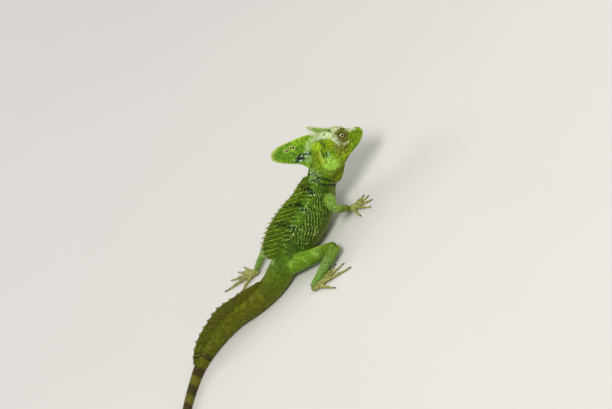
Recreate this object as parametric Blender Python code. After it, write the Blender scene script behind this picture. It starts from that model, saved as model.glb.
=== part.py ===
"""A green basilisk, an adult male at life size, resting on the floor with its head raised.

The body is one line of sections from the skull to the tip of the tail, cut into lengths. The head is a loft,
and the legs, crests and sails are set on what they grow from with a small gap.
Sizes are in millimetres, and are turned into metres where a mesh is made. +X runs towards the head, +Y to the
animal's left and +Z up. The floor is z = 0, and the origin is on it, under the vent.
"""

import math

import bmesh
import bpy
import numpy as np
from mathutils import Matrix, Vector

MM = 0.001
GAP = 0.3
LEAST_LEFT = 0.2  # a cut that leaves less of a solid than this share has failed

# The body line, from the skull to the tip of the tail: centre (x, y, z), half width, height above the centre,
# depth below it, and how far the section leans back from upright, in degrees.
BODY = [
    (144.0, -3.5, 50.5, 13.0, 16.5, 19.5, 14.0),
    (136.0, -2.0, 45.0, 14.0, 16.5, 21.0, 14.0),
    (126.0, -0.5, 37.5, 17.5, 16.5, 22.5, 12.0),
    (114.0, 0.0, 32.5, 21.0, 19.0, 23.5, 8.0),
    (98.0, 0.0, 28.5, 23.5, 21.0, 24.5, 5.0),
    (78.0, 0.0, 26.0, 24.0, 20.5, 23.6, 4.0),
    (56.0, 0.0, 22.0, 19.0, 18.0, 19.0, 4.0),
    (33.0, 0.0, 17.5, 16.0, 15.0, 16.0, 3.0),
    (8.0, 0.3, 14.5, 13.0, 14.0, 15.6, 0.0),
    (-20.0, 9.0, 13.7, 10.5, 14.0, 14.8, 0.0),
    (-54.0, 27.2, 12.4, 8.0, 12.6, 13.3, 0.0),
    (-85.0, 35.2, 10.3, 6.7, 10.2, 11.1, 0.0),
    (-119.0, 34.8, 7.4, 5.3, 7.2, 8.0, 0.0),
    (-148.0, 23.0, 5.7, 4.7, 5.5, 6.1, 0.0),
    (-200.0, -13.0, 4.9, 4.3, 4.8, 5.2, 0.0),
    (-262.0, -45.0, 4.0, 3.6, 3.9, 4.3, 0.0),
    (-335.0, -58.0, 3.1, 2.8, 3.0, 3.4, 0.0),
    (-415.0, -42.0, 2.3, 2.0, 2.2, 2.5, 0.0),
    (-505.0, 5.0, 1.1, 0.9, 1.0, 1.3, 0.0),
]
SKULL_X = 144.0
SQUARE = 2.2  # the power of a section's outline: 2 is an ellipse

# Lengths of the body between its cuts: front x, rear x, rings, sides
LENGTHS = {
    "neck": (144.0, 125.0, 6, 30),
    "torso": (125.0, 8.0, 16, 30),
    "tail_1": (8.0, -56.0, 8, 20),
    "tail_2": (-56.0, -120.0, 9, 18),
    "tail_3": (-120.0, -212.0, 10, 14),
    "tail_4": (-212.0, -330.0, 10, 12),
    "tail_5": (-330.0, -505.0, 14, 10),
}

# The head: the point between the eyes, and its turns in degrees
HEAD_AT = (191.7, -5.0, 62.5)
HEAD_YAW, HEAD_PITCH, HEAD_ROLL = -10.0, 20.0, -28.0
HEAD_END_X = -38.0
NECK_BLEND_X = -17.0  # from here back the head's sections turn into the neck's
# The head from the snout back. Each row: x; crown z; ridge y, z; cheek y, z; lip y; mouth z; jaw y, z; chin z
HEAD = [
    (25.4, -8.2, 0.8, -8.4, 1.0, -9.4, 1.0, -10.4, 0.8, -10.8, -11.0),
    (24.2, -5.8, 2.2, -6.2, 3.0, -8.6, 3.2, -11.2, 2.4, -12.2, -12.6),
    (21.0, -3.4, 3.8, -3.8, 4.8, -7.6, 5.2, -12.2, 4.0, -15.2, -16.4),
    (16.0, -2.0, 5.2, -2.4, 6.6, -6.4, 7.3, -12.9, 5.8, -18.0, -19.8),
    (10.0, 0.8, 6.4, 1.2, 8.6, -5.4, 9.2, -13.2, 7.4, -20.0, -22.3),
    (5.5, 4.6, 7.8, 6.8, 9.8, -4.6, 10.4, -13.6, 8.5, -21.2, -23.5),
    (0.5, 8.2, 8.9, 9.8, 11.1, -3.6, 11.4, -14.4, 9.4, -22.4, -24.9),
    (-4.5, 10.4, 8.9, 10.2, 12.0, -3.4, 12.3, -15.6, 10.2, -24.2, -27.2),
    (-9.0, 11.8, 8.5, 9.8, 12.7, -3.8, 12.9, -17.0, 10.8, -26.0, -29.6),
    (-20.0, 12.6, 8.0, 8.6, 13.6, -6.0, 13.8, -20.0, 11.6, -29.5, -33.0),
    (-38.0, 6.0, 8.0, 3.0, 13.0, -10.0, 13.0, -22.0, 11.0, -30.0, -35.0),
]
HEAD_RINGS = 26
LIP = 0.95  # half the height of the groove of the mouth
GROOVE = 0.75
MOUTH_END_X = -16.0
# Points to a half section between one outline and the next, from crown to chin
HEAD_STEPS = (2, 3, 3, 1, 1, 3, 2)

# Swellings of the head: centre on the right side (x, y, z), radii, and how far it stands out
SWELLINGS = [
    ((0.6, -11.0, -0.9), (8.6, 9.0, 7.6), 3.0),
    ((-26.0, -12.5, -20.5), (8.5, 9.0, 8.5), 3.6),
    ((-29.0, -11.0, 4.0), (5.5, 9.0, 9.0), 2.8),
    ((18.8, -5.4, -8.6), (3.4, 3.0, 3.0), 0.7),
]

EYE_AT = (0.6, 9.6, -0.9)
EYE_RADIUS = 5.2
LID_RING, LID_THICK = 4.6, 1.7
LID_OUT = 3.3  # how far the lids' ring stands out from the eye's centre
NOSTRIL_AT, NOSTRIL_RADIUS = (19.0, 6.6, -9.2), 0.95
EAR_AT, EAR_RADII = (-23.5, 14.8, -9.6), (2.3, 2.6, 3.4)

# The large crest behind the crown and the small one before it, in the head's own middle plane, as (x, z)
CREST_ROOT = [(-10.0, 6.0), (-22.0, 2.0), (-34.0, -6.0), (-42.0, -17.0)]
CREST_EDGE = [
    (-16.0, 11.0),
    (-24.5, 17.3),
    (-38.0, 21.3),
    (-54.0, 24.4),
    (-67.0, 26.0),
    (-75.5, 24.4),
    (-79.8, 20.0),
    (-78.5, 14.0),
    (-66.5, 3.6),
    (-55.0, -4.5),
    (-49.5, -12.5),
]
CREST_THICK = (3.4, 1.0)
HORN_ROOT = [(2.0, 4.0), (-7.0, 6.0), (-15.0, 7.5)]
HORN_EDGE = [
    (0.5, 10.4),
    (-7.0, 13.4),
    (-16.0, 20.0),
    (-25.8, 28.0),
    (-27.6, 24.6),
    (-24.0, 18.8),
    (-19.5, 14.0),
]
HORN_THICK = (2.8, 1.2)
DEWLAP_ROOT = [(-10.0, -20.0), (-20.0, -25.0), (-30.0, -29.0)]
DEWLAP_EDGE = [(-9.0, -28.0), (-13.5, -33.4), (-20.5, -40.6), (-26.5, -44.4), (-33.0, -43.0), (-36.5, -36.0)]
DEWLAP_THICK = (5.0, 2.2)

# Sails: root (x along the body, length of the ray there), rays, lean of the rays towards the tail in degrees
BACK_SAIL = [
    (139.0, 7.0),
    (132.0, 15.0),
    (122.0, 23.5),
    (110.0, 28.5),
    (92.0, 31.0),
    (75.0, 31.0),
    (58.0, 27.5),
    (46.0, 20.0),
    (38.0, 9.0),
]
BACK_RAYS, BACK_LEAN = 17, 40.0
TAIL_SAIL = [
    (6.0, 8.0),
    (-8.0, 16.0),
    (-34.0, 20.5),
    (-66.0, 17.8),
    (-88.0, 15.4),
    (-104.0, 10.6),
    (-117.0, 4.0),
]
TAIL_RAYS, TAIL_LEAN = 13, 36.0
SAIL_ROOT = 3.5  # how deep a sail starts inside the body
WEB_THICK, RAY_THICK, EDGE_THICK = 0.8, 2.2, 0.8

# Legs. Each bone is a path of points (x, y, z) with a half width and a half height at each.
LEGS = {
    "arm_upper_right": [
        (126.0, -11.0, 28.0, 6.5, 7.5),
        (124.0, -24.0, 32.0, 6.6, 7.2),
        (118.0, -40.5, 36.5, 4.6, 4.8),
    ],
    "arm_fore_right": [
        (118.5, -41.5, 36.5, 4.4, 4.4),
        (123.0, -34.0, 23.0, 4.8, 4.8),
        (129.5, -23.0, 5.8, 3.2, 3.2),
    ],
    "arm_upper_left": [
        (126.0, 11.0, 28.0, 6.5, 7.5),
        (121.0, 25.0, 31.5, 6.6, 7.2),
        (110.0, 39.0, 33.0, 4.6, 4.8),
    ],
    "arm_fore_left": [
        (109.5, 39.5, 33.0, 4.4, 4.4),
        (115.0, 38.0, 20.0, 4.8, 4.8),
        (125.0, 35.0, 5.8, 3.2, 3.2),
    ],
    "thigh_right": [
        (33.0, -6.0, 15.5, 8.5, 11.0),
        (52.0, -23.5, 15.0, 8.8, 10.5),
        (72.0, -41.5, 13.4, 7.4, 8.0),
        (87.0, -54.5, 12.0, 5.6, 5.6),
    ],
    "shank_right": [
        (88.0, -55.5, 11.6, 5.4, 5.4),
        (70.0, -56.0, 11.0, 6.4, 6.4),
        (51.0, -55.5, 8.6, 4.6, 4.6),
        (31.5, -54.5, 6.2, 3.4, 3.4),
    ],
    "thigh_left": [
        (30.0, 6.0, 15.5, 8.5, 11.0),
        (42.0, 23.0, 16.5, 8.8, 10.5),
        (55.0, 41.0, 17.0, 7.4, 8.0),
        (66.0, 56.0, 16.5, 5.6, 5.6),
    ],
    "shank_left": [
        (66.5, 57.0, 16.0, 5.4, 5.4),
        (48.0, 57.5, 14.5, 6.2, 6.2),
        (28.0, 57.0, 10.0, 4.4, 4.4),
        (9.0, 56.0, 6.2, 3.4, 3.4),
    ],
}
LEG_RINGS, LEG_SIDES = 9, 14

# Hands and feet: wrist or ankle (x, y), heading in degrees from +X, side of the body, and shape.
# Digits are given as (turn, length), the inner one first.
HAND_DIGITS = [(46.0, 9.5), (24.0, 14.5), (4.0, 19.0), (-16.0, 19.5), (-46.0, 12.5)]
FOOT_DIGITS = [(40.0, 13.0), (22.0, 19.0), (5.0, 27.0), (-12.0, 35.0), (-44.0, 19.0)]
PAWS = {
    "hand_right": ((129.5, -23.0), -46.0, -1, "hand"),
    "hand_left": ((125.0, 35.0), 30.0, 1, "hand"),
    "foot_right": ((31.5, -54.5), -24.0, -1, "foot"),
    "foot_left": ((9.0, 56.0), 130.0, 1, "foot"),
}
PAW_SHAPES = {  # palm length, half width, half height; digit radii at root and tip; claw length
    "hand": (11.0, 5.6, 2.9, 1.55, 1.05, 3.0),
    "foot": (17.0, 5.8, 3.1, 1.85, 1.15, 3.6),
}
DIGIT_SIDES = 6
SINK = 0.3  # how deep palms and digits start under the floor, before the cut that makes their flats

# Colours in the order: red, green, blue
GREEN = (0.10, 0.36, 0.03)
BRIGHT_GREEN = (0.22, 0.52, 0.03)
OLIVE = (0.14, 0.22, 0.02)
PALE_GREEN = (0.16, 0.42, 0.12)
EYE_GOLD = (0.45, 0.28, 0.04)


def clear_scene():
    for old in list(bpy.data.objects):
        bpy.data.objects.remove(old, do_unlink=True)


def new_collection(name):
    made = bpy.data.collections.new(name)
    bpy.context.scene.collection.children.link(made)
    return made


def skin_material(name, colour, roughness=0.55):
    material = bpy.data.materials.new(name)
    material.use_nodes = True
    shader = material.node_tree.nodes["Principled BSDF"]
    shader.inputs["Base Color"].default_value = (*colour, 1.0)
    shader.inputs["Roughness"].default_value = roughness
    shader.inputs["Metallic"].default_value = 0.0
    return material


def smooth(knots, values, at):
    """A smooth curve through the values at rising knots, read at one or more places."""
    knots, values = np.asarray(knots, float), np.asarray(values, float)
    at = np.clip(np.asarray(at, float), knots[0], knots[-1])
    slope = np.gradient(values, knots, axis=0)
    i = np.clip(np.searchsorted(knots, at, side="right") - 1, 0, len(knots) - 2)
    wide = knots[i + 1] - knots[i]
    t = (at - knots[i]) / wide
    if values.ndim > 1:
        t, wide = t[..., None], wide[..., None]
    start = (2 * t**3 - 3 * t**2 + 1) * values[i] + (t**3 - 2 * t**2 + t) * wide * slope[i]
    end = (3 * t**2 - 2 * t**3) * values[i + 1] + (t**3 - t**2) * wide * slope[i + 1]
    return start + end


def unit(vectors):
    return vectors / np.linalg.norm(vectors, axis=-1, keepdims=True)


def add_object(name, points, faces, material, collection):
    mesh = bpy.data.meshes.new(name)
    mesh.from_pydata((np.asarray(points, float) * MM).tolist(), [], faces)
    made = bpy.data.objects.new(name, mesh)
    collection.objects.link(made)
    if material:
        mesh.materials.append(material)
    face_outwards(mesh)
    return made


def face_outwards(mesh):
    work = bmesh.new()
    work.from_mesh(mesh)
    bmesh.ops.recalc_face_normals(work, faces=work.faces)
    if work.calc_volume(signed=True) < 0:
        bmesh.ops.reverse_faces(work, faces=work.faces)
    work.to_mesh(mesh)
    work.free()
    mesh.shade_smooth()


def loft(name, rings, material, collection):
    """A closed body through rings of equal numbers of points, with a flat face at each end."""
    count, sides = rings.shape[:2]
    faces = []
    for ring in range(count - 1):
        for side in range(sides):
            after = (side + 1) % sides
            low, high = ring * sides, (ring + 1) * sides
            faces.append((low + side, low + after, high + after, high + side))
    faces.append(tuple(range(sides)))
    faces.append(tuple(range((count - 1) * sides, count * sides)))
    return add_object(name, rings.reshape(-1, 3), faces, material, collection)


def slab(name, middle, across, thickness, material, collection):
    """A thin closed body about a grid of middle points, split into like triangles on both its faces."""
    rows, columns = middle.shape[:2]
    half = across * (thickness[..., None] / 2)
    points = np.concatenate([(middle + half).reshape(-1, 3), (middle - half).reshape(-1, 3)])
    far = rows * columns
    faces = []
    for row in range(rows - 1):
        for column in range(columns - 1):
            a = row * columns + column
            b, c, d = a + 1, a + columns + 1, a + columns
            faces += [(a, b, c), (a, c, d), (far + a, far + c, far + b), (far + a, far + d, far + c)]
    border = [(0, column) for column in range(columns)]
    border += [(row, columns - 1) for row in range(1, rows)]
    border += [(rows - 1, column) for column in range(columns - 2, -1, -1)]
    border += [(row, 0) for row in range(rows - 2, 0, -1)]
    for (row, column), (next_row, next_column) in zip(border, border[1:] + border[:1]):
        a = row * columns + column
        b = next_row * columns + next_column
        faces += [(a, far + a, b), (far + a, far + b, b)]
    return add_object(name, points, faces, material, collection)


def bake(target):
    """Applies the object's modifiers."""
    graph = bpy.context.evaluated_depsgraph_get()
    made = bpy.data.meshes.new_from_object(target.evaluated_get(graph))
    target.modifiers.clear()
    target.data = made


def keep_largest(target):
    """Leaves only the largest closed surface of the object."""
    work = bmesh.new()
    work.from_mesh(target.data)
    unseen, shells = set(work.verts), []
    while unseen:
        shell, edge = set(), [unseen.pop()]
        while edge:
            vert = edge.pop()
            shell.add(vert)
            for link in vert.link_edges:
                other = link.other_vert(vert)
                if other in unseen:
                    unseen.remove(other)
                    edge.append(other)
        shells.append(shell)

    def spread(shell):
        places = np.array([vert.co for vert in shell])
        return np.prod(np.ptp(places, axis=0) + MM)

    shells.sort(key=spread)
    loose = [vert for shell in shells[:-1] for vert in shell]
    bmesh.ops.delete(work, geom=loose, context="VERTS")
    work.to_mesh(target.data)
    work.free()


def join(name, pieces, collection):
    """One closed body of several that overlap."""
    others = new_collection(name + "_pieces")
    for piece in pieces[1:]:
        collection.objects.unlink(piece)
        others.objects.link(piece)
    body = pieces[0]
    body.name = name
    union = body.modifiers.new("union", "BOOLEAN")
    union.operation = "UNION"
    union.operand_type = "COLLECTION"
    union.collection = others
    union.solver = "EXACT"
    bake(body)
    for piece in pieces[1:]:
        bpy.data.objects.remove(piece, do_unlink=True)
    bpy.data.collections.remove(others)
    keep_largest(body)
    return body


def closed_volume(mesh):
    """The volume inside the mesh, or nothing where an edge of it isn't between two faces."""
    work = bmesh.new()
    work.from_mesh(mesh)
    closed = all(edge.is_manifold for edge in work.edges)
    volume = work.calc_volume(signed=True) if closed else 0.0
    work.free()
    return volume


def cut(target, cutter):
    """Takes the cutter away from the target, with the manifold solver where the exact one leaves it open."""
    whole = target.data
    for solver in ("EXACT", "MANIFOLD"):
        target.data = whole
        difference = target.modifiers.new("cut", "BOOLEAN")
        difference.operation = "DIFFERENCE"
        difference.object = cutter
        difference.solver = solver
        bake(target)
        keep_largest(target)
        if closed_volume(target.data) > LEAST_LEFT * closed_volume(whole):
            break


def grown(carrier, cutters, by=GAP):
    """A cutter: a copy of the carrier, its surface moved out by the gap."""
    copy = bpy.data.objects.new(carrier.name + "_grown", carrier.data.copy())
    cutters.objects.link(copy)
    copy.hide_render = True
    copy.display_type = "WIRE"
    points = np.empty(len(copy.data.vertices) * 3, np.float32)
    normals = np.empty(len(copy.data.vertices) * 3, np.float32)
    copy.data.vertices.foreach_get("co", points)
    copy.data.vertex_normals.foreach_get("vector", normals)
    copy.data.vertices.foreach_set("co", points + normals * by * MM)
    copy.data.update()
    return copy


def fit(piece, carriers, cutters):
    """Cuts the piece back from what carries it, so that they meet with the gap."""
    for carrier in carriers:
        cut(piece, grown(carrier, cutters))


def body_sections():
    """(distance from the skull, values) of the body line's stations."""
    rows = np.array(BODY)
    steps = np.linalg.norm(np.diff(rows[:, :3], axis=0), axis=1)
    return np.concatenate([[0.0], np.cumsum(steps)]), rows


BODY_RUN, BODY_ROWS = body_sections()


def body_at(run):
    """Centre, left, up and backward directions, half width, height and depth of the body along its line."""
    run = np.atleast_1d(np.asarray(run, float))
    values = smooth(BODY_RUN, BODY_ROWS, run)
    step = 0.5
    before = smooth(BODY_RUN, BODY_ROWS[:, :2], run - step)
    after = smooth(BODY_RUN, BODY_ROWS[:, :2], run + step)
    level = unit(before - after)
    lean = np.radians(values[:, 6])
    forward = np.stack([level[:, 0] * np.cos(lean), level[:, 1] * np.cos(lean), np.sin(lean)], 1)
    left = np.stack([-level[:, 1], level[:, 0], np.zeros(len(run))], 1)
    up = np.cross(forward, left)
    return values[:, :3], left, up, -forward, values[:, 3], values[:, 4], values[:, 5]


def run_at_x(x):
    """The distance along the body line where its centre is at x."""
    fine = np.linspace(0.0, BODY_RUN[-1], 4000)
    places = smooth(BODY_RUN, BODY_ROWS[:, 0], fine)
    return np.interp(-np.asarray(x, float), -places, fine)


def body_rings(runs, angle):
    """Rings of the body at angles that go from its top over its right side, kept above the floor."""
    centre, left, up, _, width, above, below = body_at(runs)
    power = 2.0 / SQUARE
    wide = -np.sign(np.sin(angle)) * np.abs(np.sin(angle)) ** power
    tall = np.sign(np.cos(angle)) * np.abs(np.cos(angle)) ** power
    height = np.where(tall[None, :] > 0, above[:, None], below[:, None]) * tall[None, :]
    aside = (width[:, None] * wide[None, :])[..., None]
    rings = centre[:, None] + left[:, None] * aside + up[:, None] * height[..., None]
    rings[..., 2] = np.maximum(rings[..., 2], 0.0)
    return rings


def body_length(name, material, collection):
    front_x, rear_x, rings, sides = LENGTHS[name]
    start, end = run_at_x(front_x), run_at_x(rear_x)
    runs = np.linspace(start + GAP / 2, end - GAP / 2, rings)
    angle = np.arange(sides) * 2 * math.pi / sides
    return loft(name, body_rings(runs, angle), material, collection)


def head_frame():
    """The matrix that carries the head's own axes to the body's, in millimetres."""
    turn = Matrix.Rotation(math.radians(HEAD_YAW), 4, "Z")
    turn = turn @ Matrix.Rotation(math.radians(HEAD_PITCH), 4, "Y")
    turn = turn @ Matrix.Rotation(math.radians(HEAD_ROLL), 4, "X")
    return Matrix.Translation(Vector(HEAD_AT)) @ turn


def from_head(points):
    """Points of the head's own axes as points of the body's."""
    frame = np.array(head_frame())
    return np.asarray(points, float) @ frame[:3, :3].T + frame[:3, 3]


def head_half_section(x):
    """Half a section of the head at x, from the crown down the right side to the chin: a list of (y, z)."""
    rows = np.array(HEAD)
    values = smooth(-rows[:, 0], rows[:, 1:], -x)
    crown, ridge_y, ridge_z, cheek_y, cheek_z, lip, mouth, jaw_y, jaw_z, chin = values
    groove = GROOVE * np.clip((x - MOUTH_END_X) / 6.0, 0.0, 1.0) * np.clip(lip / 6.0, 0.15, 1.0)
    small = np.clip(lip / 6.0, 0.25, 1.0) * LIP * (1 + 2.2 * np.clip((MOUTH_END_X - x) / 14.0, 0.0, 1.0))
    marks = [
        (0.0, crown),
        (ridge_y, ridge_z),
        (cheek_y, cheek_z),
        (lip, mouth + small),
        (lip - groove, mouth),
        (lip - 0.15 * LIP, mouth - small),
        (jaw_y, jaw_z),
        (0.0, chin),
    ]
    marks = np.array(marks, float)
    # The curve goes on over the crown and the chin, so that it is level there.
    around = np.concatenate([marks[1:2] * (-1, 1), marks, marks[-2:-1] * (-1, 1)])
    knots = np.arange(-1, len(marks) + 1)
    places = [mark + step / steps for mark, steps in enumerate(HEAD_STEPS) for step in range(steps)]
    places.append(len(marks) - 1)
    return smooth(knots, around, np.array(places))


def whole_section(x):
    half = head_half_section(x)
    return np.concatenate([half * (-1, 1), half[-2:0:-1]])


def swell(points):
    """Moves points of the head out where it swells."""
    moved = points.copy()
    for centre, radii, lift in SWELLINGS:
        for side in (-1.0, 1.0):
            middle = np.array(centre) * (1, -side, 1)
            away = np.sum(((points - middle) / radii) ** 2, axis=-1)
            moved[..., 1] += side * lift * np.exp(-away) * np.clip(side * points[..., 1] / 4.0, 0.0, 1.0)
    return moved


def head_rings():
    """Rings of the head from the snout to the neck, whose own front section is the last one."""
    share = np.linspace(0.0, 1.0, HEAD_RINGS)
    snout = HEAD[0][0]
    places = snout + (HEAD_END_X - snout) * share**1.35
    last = whole_section(HEAD_END_X)
    angle = np.arctan2(-last[:, 0], last[:, 1] - last[:, 1].mean()) + math.radians(HEAD_ROLL)
    neck_run = run_at_x(SKULL_X) + GAP / 2
    neck = body_rings(neck_run, angle)[0] - body_at(neck_run)[3][0] * GAP
    rings = []
    for x in places:
        ring = whole_section(x)
        points = swell(np.column_stack([np.full(len(ring), x), ring]))
        blend = np.clip((NECK_BLEND_X - x) / (NECK_BLEND_X - HEAD_END_X), 0.0, 1.0)
        blend = blend * blend * (3 - 2 * blend)
        rings.append(from_head(points) * (1 - blend) + neck * blend)
    return np.array(rings)


def ball(name, centre, radii, turn, material, collection, segments=18, rings=12):
    """An egg shape in the head's own axes."""
    mesh = bpy.data.meshes.new(name)
    work = bmesh.new()
    bmesh.ops.create_uvsphere(work, u_segments=segments, v_segments=rings, radius=1.0)
    size = Matrix.Diagonal((*radii, 1.0))
    place = head_frame() @ Matrix.Translation(Vector(centre)) @ turn @ size
    bmesh.ops.transform(work, matrix=Matrix.Scale(MM, 4) @ place, verts=work.verts)
    work.to_mesh(mesh)
    work.free()
    made = bpy.data.objects.new(name, mesh)
    collection.objects.link(made)
    if material:
        mesh.materials.append(material)
    face_outwards(mesh)
    return made


def lid_ring(side, collection):
    """The ring of the eyelids round one eye."""
    bpy.ops.mesh.primitive_torus_add(
        major_radius=LID_RING, minor_radius=LID_THICK, major_segments=18, minor_segments=6, location=(0, 0, 0)
    )
    ring = bpy.context.object
    for owner in list(ring.users_collection):
        owner.objects.unlink(ring)
    collection.objects.link(ring)
    place = Matrix.Translation(Vector((EYE_AT[0], side * (EYE_AT[1] + LID_OUT), EYE_AT[2])))
    place = place @ Matrix.Rotation(math.radians(90), 4, "X")
    ring.data.transform(Matrix.Scale(MM, 4) @ head_frame() @ place)
    face_outwards(ring.data)
    return ring


def make_head(material, collection, cutters):
    head = loft("head_loft", head_rings(), material, collection)
    head = join("head", [head] + [lid_ring(side, collection) for side in (-1, 1)], collection)
    level = Matrix.Identity(4)
    # Turned a little, so that no corner of a socket falls on one of its lids
    askew = Matrix.Rotation(math.radians(7.0), 4, "Y")
    for side in (-1, 1):
        at = (EYE_AT[0], side * EYE_AT[1], EYE_AT[2])
        hole = EYE_RADIUS + GAP
        cut(head, ball("socket", at, (hole,) * 3, askew, None, cutters, 18, 12))
        at = (NOSTRIL_AT[0], side * NOSTRIL_AT[1], NOSTRIL_AT[2])
        cut(head, ball("nostril", at, (NOSTRIL_RADIUS,) * 3, level, None, cutters, 8, 6))
        at = (EAR_AT[0], side * EAR_AT[1], EAR_AT[2])
        cut(head, ball("ear", at, EAR_RADII, level, None, cutters, 12, 8))
    for cutter in cutters.objects:
        cutter.hide_render = True
        cutter.display_type = "WIRE"
    return head


def make_eyes(material, collection):
    for name, side in (("eye_right", -1), ("eye_left", 1)):
        at = (EYE_AT[0], side * EYE_AT[1], EYE_AT[2])
        facing = Matrix.Rotation(math.radians(90), 4, "X")
        ball(name, at, (EYE_RADIUS,) * 3, facing, material, collection, 16, 10)


def leaf(name, root, edge, thick, columns, rows, material, collection):
    """A flat lobe in the head's middle plane, from a line inside the head out to its edge."""
    root, edge = np.array(root, float), np.array(edge, float)
    place = np.linspace(0.0, 1.0, columns)
    inner = smooth(np.linspace(0, 1, len(root)), root, place)
    outer = smooth(np.linspace(0, 1, len(edge)), edge, place)
    share = np.linspace(0.0, 1.0, rows)[:, None, None]
    flat = inner * (1 - share) + outer * share
    middle = np.stack([flat[..., 0], np.zeros(flat.shape[:2]), flat[..., 1]], -1)
    ends = np.minimum(1.0, 4.0 * np.minimum(place, 1 - place) + 0.35)[None, :]
    thickness = (thick[0] + (thick[1] - thick[0]) * share[..., 0] ** 0.8) * ends
    across = from_head([(0, 1, 0)]) - from_head([(0, 0, 0)])
    across = np.broadcast_to(across[0], middle.shape)
    return slab(name, from_head(middle), across, np.maximum(thickness, 0.9), material, collection)


def sail(name, outline, rays, lean, material, collection, rows=4):
    """A sail on the back: a web with a ridge for each ray, which ends in a point past the web's edge."""
    outline = np.array(outline, float)
    run_from, run_to = run_at_x(outline[0, 0]), run_at_x(outline[-1, 0])
    steps = 4
    phase = np.arange(rays * steps + 1) / steps
    runs = run_from + (run_to - run_from) * phase / rays
    x = smooth(BODY_RUN, BODY_ROWS[:, 0], runs)
    length = smooth(-outline[:, 0], outline[:, 1], -x)
    centre, left, up, backward, _, above, _ = body_at(runs)
    on_ray = 0.5 + 0.5 * np.cos(2 * math.pi * phase)
    reach = length * (0.84 + 0.16 * on_ray)
    tilt = math.radians(lean)
    way = up * math.cos(tilt) + backward * math.sin(tilt)
    root = centre + up * (above - SAIL_ROOT)[:, None]
    share = np.linspace(0.0, 1.0, rows)[:, None]
    middle = root[None] + way[None] * (share * (reach + SAIL_ROOT)[None])[..., None]
    ridge = (RAY_THICK - WEB_THICK) * on_ray[None] ** 2 * (1 - 0.75 * share)
    thickness = WEB_THICK + (EDGE_THICK - WEB_THICK) * share + ridge
    return slab(name, middle, np.broadcast_to(left, middle.shape), thickness, material, collection)


def tube(name, points, rings, sides, material, collection, round_ends=(True, True)):
    """A soft tube through points (x, y, z, half width, half height), upright where it can be."""
    points = np.array(points, float)
    steps = np.linalg.norm(np.diff(points[:, :3], axis=0), axis=1)
    run = np.concatenate([[0.0], np.cumsum(steps)])
    share = 0.5 - 0.5 * np.cos(np.linspace(0.0, math.pi, rings))
    places = run[-1] * (0.6 * share + 0.4 * np.linspace(0.0, 1.0, rings))
    values = smooth(run, points, places)
    forward = unit(np.gradient(values[:, :3], places, axis=0))
    side = unit(np.cross(np.array([0.0, 0.0, 1.0]), forward))
    up = np.cross(forward, side)
    full = np.ones(rings)
    for at_start, rounded in zip((True, False), round_ends):
        if rounded:
            radius = values[0 if at_start else -1, 3]
            away = places if at_start else run[-1] - places
            near = np.clip(1 - (away + 0.12 * radius) / radius, 0.0, 1.0)
            full = np.minimum(full, np.sqrt(1 - near**2))
    angle = np.arange(sides) * 2 * math.pi / sides
    wide = (values[:, 3] * full)[:, None] * np.cos(angle)[None]
    tall = (values[:, 4] * full)[:, None] * np.sin(angle)[None]
    rings_made = values[:, None, :3] + side[:, None] * wide[..., None] + up[:, None] * tall[..., None]
    return loft(name, rings_made, material, collection)


def digit(name, start, heading, length, radii, claw, material, collection):
    """A finger or toe, arched a little, with its claw, from a point in the palm."""
    root, tip = radii
    way = np.array([math.cos(heading), math.sin(heading)])
    # Share of the length, height of the centre, radius
    along = [
        (0.0, root + 0.5, root * 0.95),
        (0.3, root + 1.3, root),
        (0.62, root + 0.5, (root + tip) / 2),
        (0.88, tip - SINK, tip * 1.1),
        (1.0, tip - SINK + 0.1, tip * 0.95),
    ]
    nail = [(0.3, tip + 0.25, tip * 0.62), (0.75, tip * 0.75, tip * 0.4), (1.0, 0.35, 0.22)]
    along += [(1.0 + share * claw / length, height, radius) for share, height, radius in nail]
    points = [(*(start + way * share * length), height, radius, radius) for share, height, radius in along]
    return tube(name, points, 10, DIGIT_SIDES, material, collection, (False, False))


def paw(name, material, collection, cutters):
    """A hand or foot: the palm with its five digits, on flats where it meets the floor."""
    (x, y), heading, side, kind = PAWS[name]
    palm, half_width, half_height, root, tip, claw = PAW_SHAPES[kind]
    heading = math.radians(heading)
    way = np.array([math.cos(heading), math.sin(heading)])
    joint = np.array([x, y])
    level = half_height - SINK
    sole = [
        (*(joint - way * 2.5), level + 1.4, half_width * 0.55, half_height * 0.9),
        (*(joint + way * palm * 0.3), level + 0.6, half_width * 0.8, half_height),
        (*(joint + way * palm * 0.72), level, half_width, half_height * 0.9),
        (*(joint + way * palm), level - 0.4, half_width * 0.86, half_height * 0.72),
    ]
    pieces = [tube(name + "_palm", sole, 7, 12, material, collection)]
    digits = HAND_DIGITS if kind == "hand" else FOOT_DIGITS
    across = np.array([-way[1], way[0]])
    for number, (turn, length) in enumerate(digits):
        spread = (2 - number) / 2.0
        back = 0.5 if number == 4 else 0.78
        start = joint + way * palm * back - side * across * spread * half_width * 0.62
        angle = heading - side * math.radians(turn)
        reach = length + palm * 0.2
        pieces.append(digit(f"{name}_{number}", start, angle, reach, (root, tip), claw, material, collection))
    made = join(name, pieces, collection)
    cut(made, floor_cutter(cutters))
    return made


def floor_cutter(cutters):
    """A slab under the floor, made once."""
    if "floor_cutter" in bpy.data.objects:
        return bpy.data.objects["floor_cutter"]
    bpy.ops.mesh.primitive_cube_add(size=1.0, location=(0.0, 0.0, -0.01))
    box = bpy.context.object
    box.name = "floor_cutter"
    box.data.transform(Matrix.Diagonal((2.0, 2.0, 0.02, 1.0)))
    for owner in list(box.users_collection):
        owner.objects.unlink(box)
    cutters.objects.link(box)
    box.hide_render = True
    box.display_type = "WIRE"
    return box


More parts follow.
